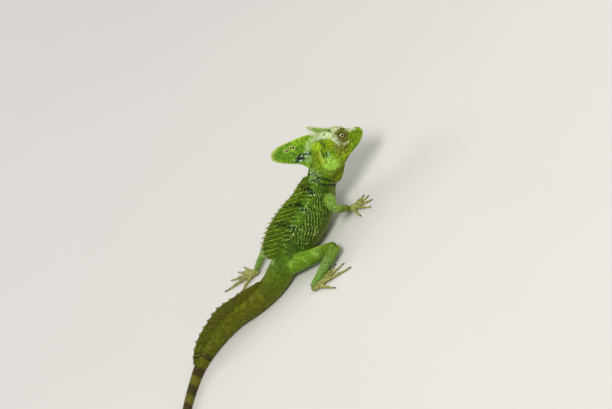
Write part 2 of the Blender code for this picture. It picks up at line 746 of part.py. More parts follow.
def make_leg(names, paw_name, trunk, material, collection, cutters):
    """The bones of one leg from the body down, each cut back from the one above, and its hand or foot."""
    above = trunk
    for name in names:
        bone = tube(name, LEGS[name], LEG_RINGS, LEG_SIDES, material, collection)
        fit(bone, above, cutters)
        above = [bone] + trunk
    end = paw(paw_name, material, collection, cutters)
    fit(end, above, cutters)


def main():
    clear_scene()
    basilisk = new_collection("green_basilisk")
    cutters = new_collection("cutters")
    green = skin_material("skin", GREEN)
    bright = skin_material("crest", BRIGHT_GREEN)
    olive = skin_material("tail_skin", OLIVE)
    pale = skin_material("leg_skin", PALE_GREEN)
    gold = skin_material("eye", EYE_GOLD, 0.1)

    body = {}
    for name in LENGTHS:
        body[name] = body_length(name, olive if name.startswith("tail") else green, basilisk)
    head = make_head(green, basilisk, cutters)
    make_eyes(gold, basilisk)

    crest = leaf("crest_main", CREST_ROOT, CREST_EDGE, CREST_THICK, 22, 7, bright, basilisk)
    fit(crest, [head, body["neck"]], cutters)
    horn = leaf("crest_front", HORN_ROOT, HORN_EDGE, HORN_THICK, 13, 6, bright, basilisk)
    fit(horn, [head, crest], cutters)
    dewlap = leaf("dewlap", DEWLAP_ROOT, DEWLAP_EDGE, DEWLAP_THICK, 12, 6, green, basilisk)
    fit(dewlap, [head, body["neck"]], cutters)

    back = sail("back_sail", BACK_SAIL, BACK_RAYS, BACK_LEAN, green, basilisk)
    fit(back, [body["torso"], body["neck"]], cutters)
    tail = sail("tail_sail", TAIL_SAIL, TAIL_RAYS, TAIL_LEAN, olive, basilisk)
    fit(tail, [body["tail_1"], body["tail_2"]], cutters)

    for side in ("right", "left"):
        arm = (f"arm_upper_{side}", f"arm_fore_{side}")
        make_leg(arm, f"hand_{side}", [body["torso"], body["neck"]], pale, basilisk, cutters)
        leg = (f"thigh_{side}", f"shank_{side}")
        make_leg(leg, f"foot_{side}", [body["torso"]], pale, basilisk, cutters)


main()
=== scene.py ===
"""The looks of the green basilisk: one skin over the flesh, small scales, crests and sails, eyes, claws and studio.

Shapes are worked out in millimetres, in the same frame as the solids, and turned into metres where a mesh is made.
"""

import math

import bmesh
import bpy
import numpy as np
from mathutils import Matrix, Vector
from mathutils.bvhtree import BVHTree
from mathutils.kdtree import KDTree


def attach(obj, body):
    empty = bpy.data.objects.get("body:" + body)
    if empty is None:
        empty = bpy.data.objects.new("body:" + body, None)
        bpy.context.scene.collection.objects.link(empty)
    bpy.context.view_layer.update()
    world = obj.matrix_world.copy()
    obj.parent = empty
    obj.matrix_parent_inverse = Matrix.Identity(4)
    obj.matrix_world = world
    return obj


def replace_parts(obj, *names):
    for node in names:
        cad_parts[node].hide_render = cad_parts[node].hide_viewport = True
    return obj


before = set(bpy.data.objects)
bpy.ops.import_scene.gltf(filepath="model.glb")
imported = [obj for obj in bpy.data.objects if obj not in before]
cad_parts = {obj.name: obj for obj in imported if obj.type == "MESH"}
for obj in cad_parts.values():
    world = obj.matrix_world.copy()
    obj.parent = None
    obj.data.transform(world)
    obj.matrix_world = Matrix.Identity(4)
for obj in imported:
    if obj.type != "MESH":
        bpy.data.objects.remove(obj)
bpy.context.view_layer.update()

MM = 0.001
VOXEL, COARSE = ((0.68, 1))
INSET = 0.28  # the skin lies this far inside the solids, and the scales fill the rest
OFF_FLOOR = 0.02
rng = np.random.default_rng(11)

# The body line: centre (x, y, z), half width, height above the centre, depth below it, lean in degrees
BODY = [
    (144, -3.5, 50.5, 13, 16.5, 19.5, 14),
    (136, -2, 45, 14, 16.5, 21, 14),
    (126, -0.5, 37.5, 17.5, 16.5, 22.5, 12),
    (114, 0, 32.5, 21, 19, 23.5, 8),
    (98, 0, 28.5, 23.5, 21, 24.5, 5),
    (78, 0, 26, 24, 20.5, 23.6, 4),
    (56, 0, 22, 19, 18, 19, 4),
    (33, 0, 17.5, 16, 15, 16, 3),
    (8, 0.3, 14.5, 13, 14, 15.6, 0),
    (-20, 9, 13.7, 10.5, 14, 14.8, 0),
    (-54, 27.2, 12.4, 8, 12.6, 13.3, 0),
    (-85, 35.2, 10.3, 6.7, 10.2, 11.1, 0),
    (-119, 34.8, 7.4, 5.3, 7.2, 8, 0),
    (-148, 23, 5.7, 4.7, 5.5, 6.1, 0),
    (-200, -13, 4.9, 4.3, 4.8, 5.2, 0),
    (-262, -45, 4, 3.6, 3.9, 4.3, 0),
    (-335, -58, 3.1, 2.8, 3, 3.4, 0),
    (-415, -42, 2.3, 2, 2.2, 2.5, 0),
    (-505, 5, 1.1, 0.9, 1, 1.3, 0),
]
SQUARE = 2.2  # how square the body's section is, where 2 is an ellipse
# Steps between rings on the body and on the tail, where the tail's start, and where the neck's twist is used up
BODY_STEP, TAIL_STEP, TAIL_FROM, TWIST_END = 1.3, 2, 190, 45

HEAD_AT = (191.7, -5, 62.5)
HEAD_YAW, HEAD_PITCH, HEAD_ROLL = -10, 20, -28
HEAD_END_X, NECK_BLEND_X = -38, -17
# The head from the snout back. Each row: x; crown z; ridge y, z; cheek y, z; lip y; mouth z; jaw y, z; chin z
HEAD = [
    (25.4, -8.2, 0.8, -8.4, 1, -9.4, 1, -10.4, 0.8, -10.8, -11),
    (24.2, -5.8, 2.2, -6.2, 3, -8.6, 3.2, -11.2, 2.4, -12.2, -12.6),
    (21, -3.4, 3.8, -3.8, 4.8, -7.6, 5.2, -12.2, 4, -15.2, -16.4),
    (16, -2, 5.2, -2.4, 6.6, -6.4, 7.3, -12.9, 5.8, -18, -19.8),
    (10, 0.8, 6.4, 1.2, 8.6, -5.4, 9.2, -13.2, 7.4, -20, -22.3),
    (5.5, 4.6, 7.8, 6.8, 9.8, -4.6, 10.4, -13.6, 8.5, -21.2, -23.5),
    (0.5, 8.2, 8.9, 9.8, 11.1, -3.6, 11.4, -14.4, 9.4, -22.4, -24.9),
    (-4.5, 10.4, 8.9, 10.2, 12, -3.4, 12.3, -15.6, 10.2, -24.2, -27.2),
    (-9, 11.8, 8.5, 9.8, 12.7, -3.8, 12.9, -17, 10.8, -26, -29.6),
    (-20, 12.6, 8, 8.6, 13.6, -6, 13.8, -20, 11.6, -29.5, -33),
    (-38, 6, 8, 3, 13, -10, 13, -22, 11, -30, -35),
]
HEAD_ROWS = np.array(HEAD)
SNOUT_X = HEAD[0][0]
MOUTH, RIDGE_Y = 6, 1  # columns of a row's values after x
HEAD_STEPS = (12, 14, 16, 4, 4, 13, 10)  # points between the marks of a section
HEAD_RINGS = 110
LIP, MOUTH_END_X = 0.95, -16
# Bulges of the head's sides at the eye, the jaw, the temple and the nostril: place, radii, height
SWELLINGS = [
    ((0.6, -11, -0.9), (8.6, 9, 7.6), 3), ((-26, -12.5, -20.5), (8.5, 9, 8.5), 3.6),
    ((-29, -11, 4), (5.5, 9, 9), 2.8), ((18.8, -5.4, -8.6), (3.4, 3, 3), 0.7),
]
EYE_AT = (0.6, 9.6, -0.9)
EYE_RADIUS, SOCKET_GAP, EYE_GAP, EYE_TURN = 5.2, 0.12, 0.04, 9
LID_RING, LID_THICK, LID_OUT, LID_STRETCH = 4.6, 1.7, 3.3, (1.06, 0.97)
NOSTRIL_AT = (19, 6.6, -9.2)
EAR_AT = (-23.5, -10.8)  # x and z of its middle

# Crests, dewlap and sails: outlines as (x, z) in the head's axes or (x, height), and thickness at root and edge
CREST_ROOT = [(-10, 6), (-22, 2), (-34, -6), (-42, -17)]
CREST_EDGE = [
    (-16, 11), (-24.5, 17.3), (-38, 21.3), (-54, 24.4), (-67, 26), (-75.5, 24.4), (-79.8, 20),
    (-78.5, 14), (-66.5, 3.6), (-55, -4.5), (-49.5, -12.5),
]
CREST_THICK = (3.4, 1)
HORN_ROOT = [(2, 4), (-7, 6), (-15, 7.5)]
HORN_EDGE = [
    (0.5, 10.4), (-7, 13.4), (-16, 20), (-25.8, 28), (-27.6, 24.6), (-24, 18.8), (-19.5, 14),
]
HORN_THICK = (2.8, 1.2)
DEWLAP_ROOT = [(-10, -20), (-20, -25), (-30, -29)]
DEWLAP_EDGE = [(-9, -28), (-13.5, -33.4), (-20.5, -40.6), (-26.5, -44.4), (-33, -43), (-36.5, -36)]
DEWLAP_THICK = (5, 2.2)

BACK_SAIL = [
    (139, 7), (132, 15), (122, 23.5), (110, 28.5), (92, 31), (75, 31), (58, 27.5),
    (46, 20), (38, 9),
]
BACK_RAYS, BACK_LEAN = 17, 40
TAIL_SAIL = [
    (6, 8), (-8, 16), (-34, 20.5), (-66, 17.8), (-88, 15.4), (-104, 10.6), (-117, 4),
]
TAIL_RAYS, TAIL_LEAN = 13, 36
SAIL_ROOT = 3.5
WEB_THICK, RAY_THICK = 0.8, 2.2
RAY_STEPS, SAIL_ROWS, CREST_GRID = 14, 44, (120, 50)

# The limbs' paths: centre (x, y, z), half width, half height
LEGS = {
    "arm_upper_right": [
        (126, -11, 28, 6.5, 7.5), (124, -24, 32, 6.6, 7.2), (118, -40.5, 36.5, 4.6, 4.8),
    ],
    "arm_fore_right": [
        (118.5, -41.5, 36.5, 4.4, 4.4), (123, -34, 23, 4.8, 4.8), (129.5, -23, 5.8, 3.2, 3.2),
    ],
    "arm_upper_left": [
        (126, 11, 28, 6.5, 7.5), (121, 25, 31.5, 6.6, 7.2), (110, 39, 33, 4.6, 4.8),
    ],
    "arm_fore_left": [
        (109.5, 39.5, 33, 4.4, 4.4), (115, 38, 20, 4.8, 4.8), (125, 35, 5.8, 3.2, 3.2),
    ],
    "thigh_right": [
        (33, -6, 15.5, 8.5, 11), (52, -23.5, 15, 8.8, 10.5), (72, -41.5, 13.4, 7.4, 8),
        (87, -54.5, 12, 5.6, 5.6),
    ],
    "shank_right": [
        (88, -55.5, 11.6, 5.4, 5.4), (70, -56, 11, 6.4, 6.4), (51, -55.5, 8.6, 4.6, 4.6),
        (31.5, -54.5, 6.2, 3.4, 3.4),
    ],
    "thigh_left": [
        (30, 6, 15.5, 8.5, 11), (42, 23, 16.5, 8.8, 10.5), (55, 41, 17, 7.4, 8),
        (66, 56, 16.5, 5.6, 5.6),
    ],
    "shank_left": [
        (66.5, 57, 16, 5.4, 5.4), (48, 57.5, 14.5, 6.2, 6.2), (28, 57, 10, 4.4, 4.4),
        (9, 56, 6.2, 3.4, 3.4),
    ],
}
# Digits from the inner to the outer one: turn from the paw's heading in degrees, length
HAND_DIGITS = [(46, 9.5), (24, 14.5), (4, 19), (-16, 19.5), (-46, 12.5)]
FOOT_DIGITS = [(40, 13), (22, 19), (5, 27), (-12, 35), (-44, 19)]
# Paws: joint (x, y), heading in degrees, side, kind
PAWS = {
    "hand_right": ((129.5, -23), -46, -1, "hand"),
    "hand_left": ((125, 35), 30, 1, "hand"),
    "foot_right": ((31.5, -54.5), -24, -1, "foot"),
    "foot_left": ((9, 56), 130, 1, "foot"),
}
# Length, half width and half height of the palm, radii of a digit's root and tip, length of a claw
PAW_SHAPES = {"hand": (11, 5.6, 2.9, 1.55, 1.05, 3), "foot": (17, 5.8, 3.1, 1.85, 1.15, 3.6)}
SINK = 0.3  # how much of a paw's underside the floor flattens

# The camera: millimetres of the animal to a pixel of the frame, height above the floor and roll in degrees, and the
# pixel where the frame's origin shows
PIXEL_MM, CAMERA_HEIGHT, CAMERA_ROLL = 1.15, 35, 55
LENS, SENSOR = 180, 36
IMAGE = (612, 409)
ORIGIN_PIXEL = (277.5, 296)

FLOOR_SIZE = 18000
SKY, SKY_STRENGTH = (1, 0.985, 0.95, 1), 0.36
LIGHTS_AIM = (0.1, 0, 0.04)
# Soft lights: place in metres, size in metres, power in watts, colour
LIGHTS = {
    "key": ((-0.1, -1, 1.9), 0.8, 25, (1, 0.97, 0.92)),
    "side": ((1.7, -0.6, 1.1), 1.2, 9, (1, 0.98, 0.94)),
    "rim": ((-0.9, 1.5, 1.2), 1, 12, (1, 1, 1)),
}


def unit(vectors):
    return vectors / np.maximum(np.linalg.norm(vectors, axis=-1, keepdims=True), 1e-9)


def lengths(points):
    """Distances along a line of points, from its first one."""
    return np.concatenate([[0], np.cumsum(np.linalg.norm(np.diff(points, axis=0), axis=1))])


def smooth(knots, values, at):
    """A smooth curve through the values at rising knots, read at one or more places."""
    knots, values = np.asarray(knots, float), np.asarray(values, float)
    at = np.clip(np.asarray(at, float), knots[0], knots[-1])
    slope = np.gradient(values, knots, axis=0)
    i = np.clip(np.searchsorted(knots, at, side="right") - 1, 0, len(knots) - 2)
    wide = knots[i + 1] - knots[i]
    t = (at - knots[i]) / wide
    if values.ndim > 1:
        t, wide = t[..., None], wide[..., None]
    start = (2 * t**3 - 3 * t**2 + 1) * values[i] + (t**3 - 2 * t**2 + t) * wide * slope[i]
    end = (3 * t**2 - 2 * t**3) * values[i + 1] + (t**3 - t**2) * wide * slope[i + 1]
    return start + end


def head_lines(x):
    """The values of the head's outlines at x, in the order of a row."""
    return smooth(-HEAD_ROWS[:, 0], HEAD_ROWS[:, 1:], -np.asarray(x, float))


def ease(value, low, high):
    t = np.clip((value - low) / (high - low), 0, 1)
    return t * t * (3 - 2 * t)


def bump_at(value, centre, width):
    return np.exp(-(((value - centre) / width) ** 2))


BODY_ROWS = np.array(BODY)
BODY_RUN = lengths(BODY_ROWS[:, :3])


def body_at(run):
    """Centre, left, up and backward directions, half width, height and depth of the body at a distance along it."""
    run = np.atleast_1d(np.asarray(run, float))
    values = smooth(BODY_RUN, BODY_ROWS, run)
    level = unit(smooth(BODY_RUN, BODY_ROWS[:, :2], run - 0.5) - smooth(BODY_RUN, BODY_ROWS[:, :2], run + 0.5))
    lean = np.radians(values[:, 6])
    forward = np.stack([level[:, 0] * np.cos(lean), level[:, 1] * np.cos(lean), np.sin(lean)], 1)
    left = np.stack([-level[:, 1], level[:, 0], np.zeros(len(run))], 1)
    return values[:, :3], left, np.cross(forward, left), -forward, values[:, 3], values[:, 4], values[:, 5]


def run_at_x(x):
    fine = np.linspace(0.0, BODY_RUN[-1], 4000)
    places = smooth(BODY_RUN, BODY_ROWS[:, 0], fine)
    return np.interp(-np.asarray(x, float), -places, fine)


def body_ring(run, angle):
    """One ring of the body at angles that go from its top over its right side, kept above the floor."""
    centre, left, up, _, width, above, below = (part[0] for part in body_at(run))
    power = 2 / SQUARE
    wide = -np.sign(np.sin(angle)) * np.abs(np.sin(angle)) ** power
    tall = np.sign(np.cos(angle)) * np.abs(np.cos(angle)) ** power
    ring = centre + left * (width * wide)[:, None] + up * (np.where(tall > 0, above, below) * tall)[:, None]
    ring[:, 2] = np.maximum(ring[:, 2], 0)
    return ring


HEAD_FRAME = (
    Matrix.Translation(Vector(HEAD_AT))
    @ Matrix.Rotation(math.radians(HEAD_YAW), 4, "Z")
    @ Matrix.Rotation(math.radians(HEAD_PITCH), 4, "Y")
    @ Matrix.Rotation(math.radians(HEAD_ROLL), 4, "X")
)
HEAD_TURN = np.array(HEAD_FRAME)[:3, :3]


def from_head(points):
    return np.asarray(points, float) @ HEAD_TURN.T + np.array(HEAD_AT)


def to_head(points):
    return (np.asarray(points, float) - np.array(HEAD_AT)) @ HEAD_TURN


def head_section(x):
    """A whole section of the head at x, from the crown over the right side: a list of (y, z)."""
    crown, ridge_y, ridge_z, cheek_y, cheek_z, lip, mouth, jaw_y, jaw_z, chin = head_lines(x)
    small = np.clip(lip / 6, 0.25, 1) * LIP * (1 + 2.2 * np.clip((MOUTH_END_X - x) / 14, 0, 1))
    marks = np.array([
        (0, crown),
        (ridge_y, ridge_z),
        (cheek_y, cheek_z),
        (lip, mouth + small),
        (lip - 0.1, mouth),
        (lip - 0.15 * LIP, mouth - small),
        (jaw_y, jaw_z),
        (0, chin),
    ])
    around = np.concatenate([marks[1:2] * (-1, 1), marks, marks[-2:-1] * (-1, 1)])
    places = [mark + step / steps for mark, steps in enumerate(HEAD_STEPS) for step in range(steps)]
    half = smooth(np.arange(-1, len(marks) + 1), around, np.array(places + [len(marks) - 1]))
    return np.concatenate([half * (-1, 1), half[-2:0:-1]])


def swell(points):
    moved = points.copy()
    for centre, radii, lift in SWELLINGS:
        for side in (-1, 1):
            away = np.sum(((points - np.array(centre) * (1, -side, 1)) / radii) ** 2, axis=-1)
            moved[..., 1] += side * lift * np.exp(-away) * np.clip(side * points[..., 1] / 4, 0, 1)
    return moved


def trunk_rings():
    """Rings of the trunk from the snout to the tip of the tail."""
    last = head_section(HEAD_END_X)
    angle = np.arctan2(-last[:, 0], last[:, 1] - last[:, 1].mean()) + math.radians(HEAD_ROLL)
    angle = np.unwrap(angle)
    even = angle[0] + np.arange(len(angle)) * 2 * math.pi / len(angle)
    neck = body_ring(0, angle)
    rings = []
    for x in SNOUT_X + (HEAD_END_X - SNOUT_X) * np.linspace(0.0, 1.0, HEAD_RINGS) ** 1.35:
        ring = head_section(x)
        points = swell(np.column_stack([np.full(len(ring), x), ring]))
        blend = ease(NECK_BLEND_X - x, 0, NECK_BLEND_X - HEAD_END_X)
        rings.append(from_head(points) * (1 - blend) + neck * blend)
    for run in (*np.arange(1, TAIL_FROM, BODY_STEP), *np.arange(TAIL_FROM, BODY_RUN[-1], TAIL_STEP)):
        rings.append(body_ring(run, angle + (even - angle) * ease(run, 0, TWIST_END)))
    return np.array(rings)


def tube_rings(points, rings, sides, round_ends=(True, True)):
    """Rings of a soft tube through points (x, y, z, half width, half height)."""
    points = np.array(points, float)
    run = lengths(points[:, :3])
    share = 0.5 - 0.5 * np.cos(np.linspace(0.0, math.pi, rings))
    places = run[-1] * (0.6 * share + 0.4 * np.linspace(0.0, 1.0, rings))
    values = smooth(run, points, places)
    forward = unit(np.gradient(values[:, :3], places, axis=0))
    side = unit(np.cross(np.array([0, 0, 1]), forward))
    up = np.cross(forward, side)
    full = np.ones(rings)
    for at_start, rounded in zip((True, False), round_ends):
        if rounded:
            radius = values[0 if at_start else -1, 3]
            away = places if at_start else run[-1] - places
            near = np.clip(1 - (away + 0.04 * radius) / radius, 0, 1)
            full = np.minimum(full, np.sqrt(1 - near**2))
    angle = np.arange(sides) * 2 * math.pi / sides + math.pi / 2
    wide = (values[:, 3] * full)[:, None] * np.cos(angle)[None]
    tall = (values[:, 4] * full)[:, None] * np.sin(angle)[None]
    return values[:, None, :3] + side[:, None] * wide[..., None] + up[:, None] * tall[..., None]


def digit_points(start, heading, length, radii, claw):
    """A digit's path with its radii, and the path of its claw."""
    root, tip = radii
    way = np.array([math.cos(heading), math.sin(heading)])
    along = [
        (0, root + 0.5, root * 0.95), (0.15, root + 1.1, root * 1), (0.3, root + 1.3, root * 1.08),
        (0.45, root + 0.9, root * 0.88), (0.62, root + 0.5, (root + tip) / 2 * 1.08),
        (0.75, tip + 0.2, tip * 1), (0.88, tip - SINK, tip * 1.12), (1, tip - SINK + 0.1, tip * 0.95),
    ]  # fmt: skip
    flesh = [(*(start + way * share * length), height, radius, radius) for share, height, radius in along]
    nail = [
        (-0.15, tip + 0.1, tip * 0.6), (0.3, tip + 0.25, tip * 0.6),
        (0.75, tip * 0.75, tip * 0.38), (1, 0.3, 0.15),
    ]  # fmt: skip
    claws = [(*(start + way * (length + share * claw)), height, radius, radius) for share, height, radius in nail]
    return flesh, claws


def paw_tubes(name):
    """The palm's path, and the digits' and claws' paths of one hand or foot."""
    joint, heading, side, kind = PAWS[name]
    palm, half_width, half_height, root, tip, claw = PAW_SHAPES[kind]
    heading = math.radians(heading)
    way = np.array([math.cos(heading), math.sin(heading)])
    joint = np.array(joint)
    level = half_height - SINK
    sole = [
        (*(joint - way * 2.5), level + 1.4, half_width * 0.55, half_height * 0.9),
        (*(joint + way * palm * 0.3), level + 0.6, half_width * 0.8, half_height),
        (*(joint + way * palm * 0.72), level, half_width, half_height * 0.9),
        (*(joint + way * palm), level - 0.4, half_width * 0.86, half_height * 0.72),
    ]
    across = np.array([-way[1], way[0]])
    digits = []
    for number, (turn, length) in enumerate(HAND_DIGITS if kind == "hand" else FOOT_DIGITS):
        back = 0.5 if number == 4 else 0.78
        start = joint + way * palm * back - side * across * (2 - number) / 2 * half_width * 0.62
        angle = heading - side * math.radians(turn)
        digits.append(digit_points(start, angle, length + palm * 0.2, (root, tip), claw))
    return sole, digits


def leaf_grid(root, edge, thick, columns, rows):
    """Middle points and thickness of a flat lobe in the head's middle plane."""
    root, edge = np.array(root, float), np.array(edge, float)
    place = np.linspace(0.0, 1.0, columns)
    inner = smooth(np.linspace(0, 1, len(root)), root, place)
    outer = smooth(np.linspace(0, 1, len(edge)), edge, place)
    share = np.linspace(0.0, 1.0, rows)[:, None, None]
    flat = inner * (1 - share) + outer * share
    middle = np.stack([flat[..., 0], np.zeros(flat.shape[:2]), flat[..., 1]], -1)
    ends = np.minimum(1, 4 * np.minimum(place, 1 - place) + 0.35)[None, :]
    thickness = np.maximum((thick[0] + (thick[1] - thick[0]) * share[..., 0] ** 0.8) * ends, 0.9)
    return middle, thickness


def slab_mesh(middle, across, thickness):
    """Points and faces of a thin closed body about a grid of middle points."""
    rows, columns = middle.shape[:2]
    half = across * (thickness[..., None] / 2)
    points = np.concatenate([(middle + half).reshape(-1, 3), (middle - half).reshape(-1, 3)])
    index = np.arange(rows * columns).reshape(rows, columns)
    a, b, c, d = (part.ravel() for part in (index[:-1, :-1], index[:-1, 1:], index[1:, 1:], index[1:, :-1]))
    far = rows * columns
    faces = [np.stack([a, b, c, d], 1), np.stack([d, c, b, a], 1) + far]
    border = np.concatenate([index[0, :], index[1:, -1], index[-1, -2::-1], index[-2:0:-1, 0]])
    after = np.roll(border, -1)
    faces.append(np.stack([border, border + far, after + far, after], 1))
    return points, np.concatenate(faces)


def grid_mesh(rings):
    """Points and faces of a closed loft: quads between rings, and a fan to a middle point at each end."""
    count, sides = rings.shape[:2]
    index = np.arange(count * sides).reshape(count, sides)
    after = np.roll(index, -1, 1)
    quads = np.stack([index[:-1], after[:-1], after[1:], index[1:]], -1).reshape(-1, 4)
    points = np.concatenate([rings.reshape(-1, 3), [rings[0].mean(0)], [rings[-1].mean(0)]])
    first, last = count * sides, count * sides + 1
    front = np.stack([after[0], index[0], np.full(sides, first), np.full(sides, first)], 1)
    rear = np.stack([index[-1], after[-1], np.full(sides, last), np.full(sides, last)], 1)
    return points, np.concatenate([quads, front, rear])


def joined(parts):
    """Several sets of points and faces as one."""
    base = np.cumsum([0] + [len(points) for points, _ in parts])
    faces = [their + first for (_, their), first in zip(parts, base)]
    return np.concatenate([points for points, _ in parts]), np.concatenate(faces)


def to_mesh(name, points, faces):
    """A mesh from arrays of points in millimetres and of four corners a face, the last two alike in a triangle."""
    mesh = bpy.data.meshes.new(name)
    rows = [tuple(face[:3]) if face[2] == face[3] else tuple(face) for face in faces.tolist()]
    mesh.from_pydata((points * MM).tolist(), [], rows)
    mesh.validate()
    mesh.shade_smooth()
    return mesh


def triangles_to_mesh(name, points, triangles):
    mesh = bpy.data.meshes.new(name)
    mesh.vertices.add(len(points))
    mesh.vertices.foreach_set("co", (points * MM).astype(np.float32).ravel())
    mesh.loops.add(triangles.size)
    mesh.loops.foreach_set("vertex_index", triangles.astype(np.int32).ravel())
    mesh.polygons.add(len(triangles))
    mesh.polygons.foreach_set("loop_start", np.arange(0, triangles.size, 3, dtype=np.int32))
    mesh.update()
    mesh.shade_smooth()
    return mesh


def add_object(name, data, material=None, slot=None):
    made = bpy.data.objects.new(name, data)
    bpy.context.scene.collection.objects.link(made)
    if material:
        data.materials.append(material)
    if slot:
        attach(made, "root")
    return made


def rows_of(items, key, width=3, kind=np.float32):
    values = np.empty(len(items) * width, kind)
    items.foreach_get(key, values)
    return values.reshape(-1, width)


def points_of(mesh):
    return rows_of(mesh.vertices, "co").astype(float) / MM


def put_points(mesh, points):
    mesh.vertices.foreach_set("co", (points * MM).astype(np.float32).ravel())
    mesh.update()


def spread(values, edges, rounds, weight=0.5, mask=None):
    """Evens values out over the mesh, each point towards the mean of its neighbours."""
    if values.ndim == 1:
        return spread(values[:, None], edges, rounds, weight, mask)[:, 0]
    count = np.bincount(edges.ravel(), minlength=len(values))[:, None]
    step = weight if mask is None else (weight * mask)[:, None]
    for _ in range(rounds):
        total = np.zeros_like(values)
        for axis in range(values.shape[1]):
            total[:, axis] = np.bincount(edges[:, 0], values[edges[:, 1], axis], len(values))
            total[:, axis] += np.bincount(edges[:, 1], values[edges[:, 0], axis], len(values))
        values = values + (total / np.maximum(count, 1) - values) * step
    return values


def put_attributes(mesh, **named):
    for name, values in named.items():
        values = np.asarray(values, np.float32)
        kind, key = ("FLOAT_VECTOR", "vector") if values.ndim > 1 else ("FLOAT", "value")
        mesh.attributes.new(name, kind, "POINT").data.foreach_set(key, values.ravel())


# The forms that make up the flesh: name, rings, kind (0 trunk, 1 limb, 2 hand or foot)
FORMS = [("trunk", trunk_rings(), 0)]
CLAWS = []
for leg_name, leg_points in LEGS.items():
    FORMS.append((leg_name, tube_rings(leg_points, 50, 40), 1))
for paw_name in PAWS:
    sole_points, digit_list = paw_tubes(paw_name)
    FORMS.append((paw_name + "_palm", tube_rings(sole_points, 26, 30), 2))
    for digit_number, (flesh_points, claw_points) in enumerate(digit_list):
        FORMS.append((f"{paw_name}_{digit_number}", tube_rings(flesh_points, 44, 18), 2))
        CLAWS.append(tube_rings(claw_points, 12, 10, (True, False)))


def torus(radius, thick, side, sides=48, round_sides=16):
    """Points and faces of the ring of the eyelids on one side."""
    turn = (np.arange(sides) * 2 * math.pi / sides)[:, None]
    round_ = (np.arange(round_sides) * 2 * math.pi / round_sides)[None]
    reach = radius + thick * np.cos(round_)
    x = EYE_AT[0] + reach * np.cos(turn) * LID_STRETCH[0]
    z = EYE_AT[2] + reach * np.sin(turn) * LID_STRETCH[1]
    y = side * (EYE_AT[1] + LID_OUT + thick * np.sin(round_) + 0 * turn)
    points = from_head(np.stack([x, y, z], -1).reshape(-1, 3))
    index = np.arange(sides * round_sides).reshape(sides, round_sides)
    right, below = np.roll(index, -1, 0), np.roll(index, -1, 1)
    return points, np.stack([index, right, np.roll(right, -1, 1), below], -1).reshape(-1, 4)


def ball_mesh(centre, radius, rings=40, sides=48):
    """Points and faces of a ball."""
    polar = np.linspace(0.03, math.pi - 0.03, rings)[:, None]
    turn = np.linspace(0, 2 * math.pi, sides + 1)[None, :-1]
    flat = np.stack([np.sin(polar) * np.cos(turn), np.sin(polar) * np.sin(turn), np.cos(polar) + 0 * turn], -1)
    return grid_mesh(np.array(centre) + flat * radius)


def build_skin():
    """The skin's mesh: all forms as one closed surface, with a socket for each eye."""
    across = HEAD_TURN @ np.array([0, 1, 0])
    solids = [grid_mesh(rings) for _, rings, _ in FORMS]
    solids += [torus(LID_RING, LID_THICK, side) for side in (-1, 1)]
    middle, thickness = leaf_grid(DEWLAP_ROOT, DEWLAP_EDGE, DEWLAP_THICK, 40, 24)
    solids.append(slab_mesh(from_head(middle), np.broadcast_to(across, middle.shape), thickness))
    raw = add_object("raw", to_mesh("raw", *joined(solids)))
    remesh = raw.modifiers.new("remesh", "REMESH")
    remesh.mode, remesh.voxel_size = "VOXEL", VOXEL * MM
    holes = []
    for side in (-1, 1):
        centre = from_head([(EYE_AT[0], side * EYE_AT[1], EYE_AT[2])])[0]
        hole = add_object("socket", to_mesh("socket", *ball_mesh(centre, EYE_RADIUS + SOCKET_GAP)))
        cut = raw.modifiers.new("socket", "BOOLEAN")
        cut.operation, cut.solver, cut.object = "DIFFERENCE", "MANIFOLD", hole
        holes.append(hole)
    mesh = bpy.data.meshes.new_from_object(raw.evaluated_get(bpy.context.evaluated_depsgraph_get()))
    for spent in [raw] + holes:
        bpy.data.objects.remove(spent)
    mesh.materials.clear()
    mesh.polygons.foreach_set("material_index", np.zeros(len(mesh.polygons), np.int32))
    return mesh


def form_source(number, rings):
    """For each point of a form: the form's number, distance along it and share of the way round."""
    closed = np.concatenate([rings, rings[:, :1]], 1)
    way = np.cumsum(np.linalg.norm(np.diff(closed, axis=1), axis=2), axis=1)
    way = np.concatenate([np.zeros((len(rings), 1)), way], 1)
    share = way[:, :-1] / np.maximum(way[:, -1:], 1e-6)
    run = np.repeat(lengths(rings.mean(1)), rings.shape[1])
    return np.column_stack([np.full(len(run), number), run, share.ravel()])


SOURCE = np.concatenate([form_source(number, rings) for number, (_, rings, _) in enumerate(FORMS)])
SOURCE_POINTS = np.concatenate([rings.reshape(-1, 3) for _, rings, _ in FORMS])
KINDS = np.array([kind for _, _, kind in FORMS])
TRUNK = FORMS[0][1]
HEAD_RUN = float(lengths(TRUNK.mean(1))[HEAD_RINGS - 1])


def run_of(x):
    """Distance along the trunk, from the snout, of a place on the body line."""
    return HEAD_RUN + float(run_at_x(x))


# Where markings and pieces of the coat start and end, as distances along the trunk
BARS = [run_of(x) for x in (125, 103, 78)]
NECK_RUN, BLOTCH_RUN, VENT_RUN, BANDS_RUN = run_of(139), run_of(31), run_of(0), run_of(-127)
TAIL_END_RUN = HEAD_RUN + float(BODY_RUN[-1])
BODY_COAT_END, TAIL_COAT_SPLIT = VENT_RUN + 6, VENT_RUN + 150
BAND_STEP = 23


def nearest_source(points):
    """For each point, the form's number, run and share of the way round of the nearest point of the forms."""
    tree = KDTree(len(SOURCE_POINTS))
    for number, point in enumerate(SOURCE_POINTS.tolist()):
        tree.insert(point, number)
    tree.balance()
    return SOURCE[[tree.find(point)[1] for point in points.tolist()]]


def along_flank(run):
    """1 along the folded part of the flank, and 0 at the shoulder and the hip."""
    past, length = run - BARS[0], BARS[2] - BARS[0]
    return ease(past, -18, 0) * ease(-past, -length - 36, -length - 8)


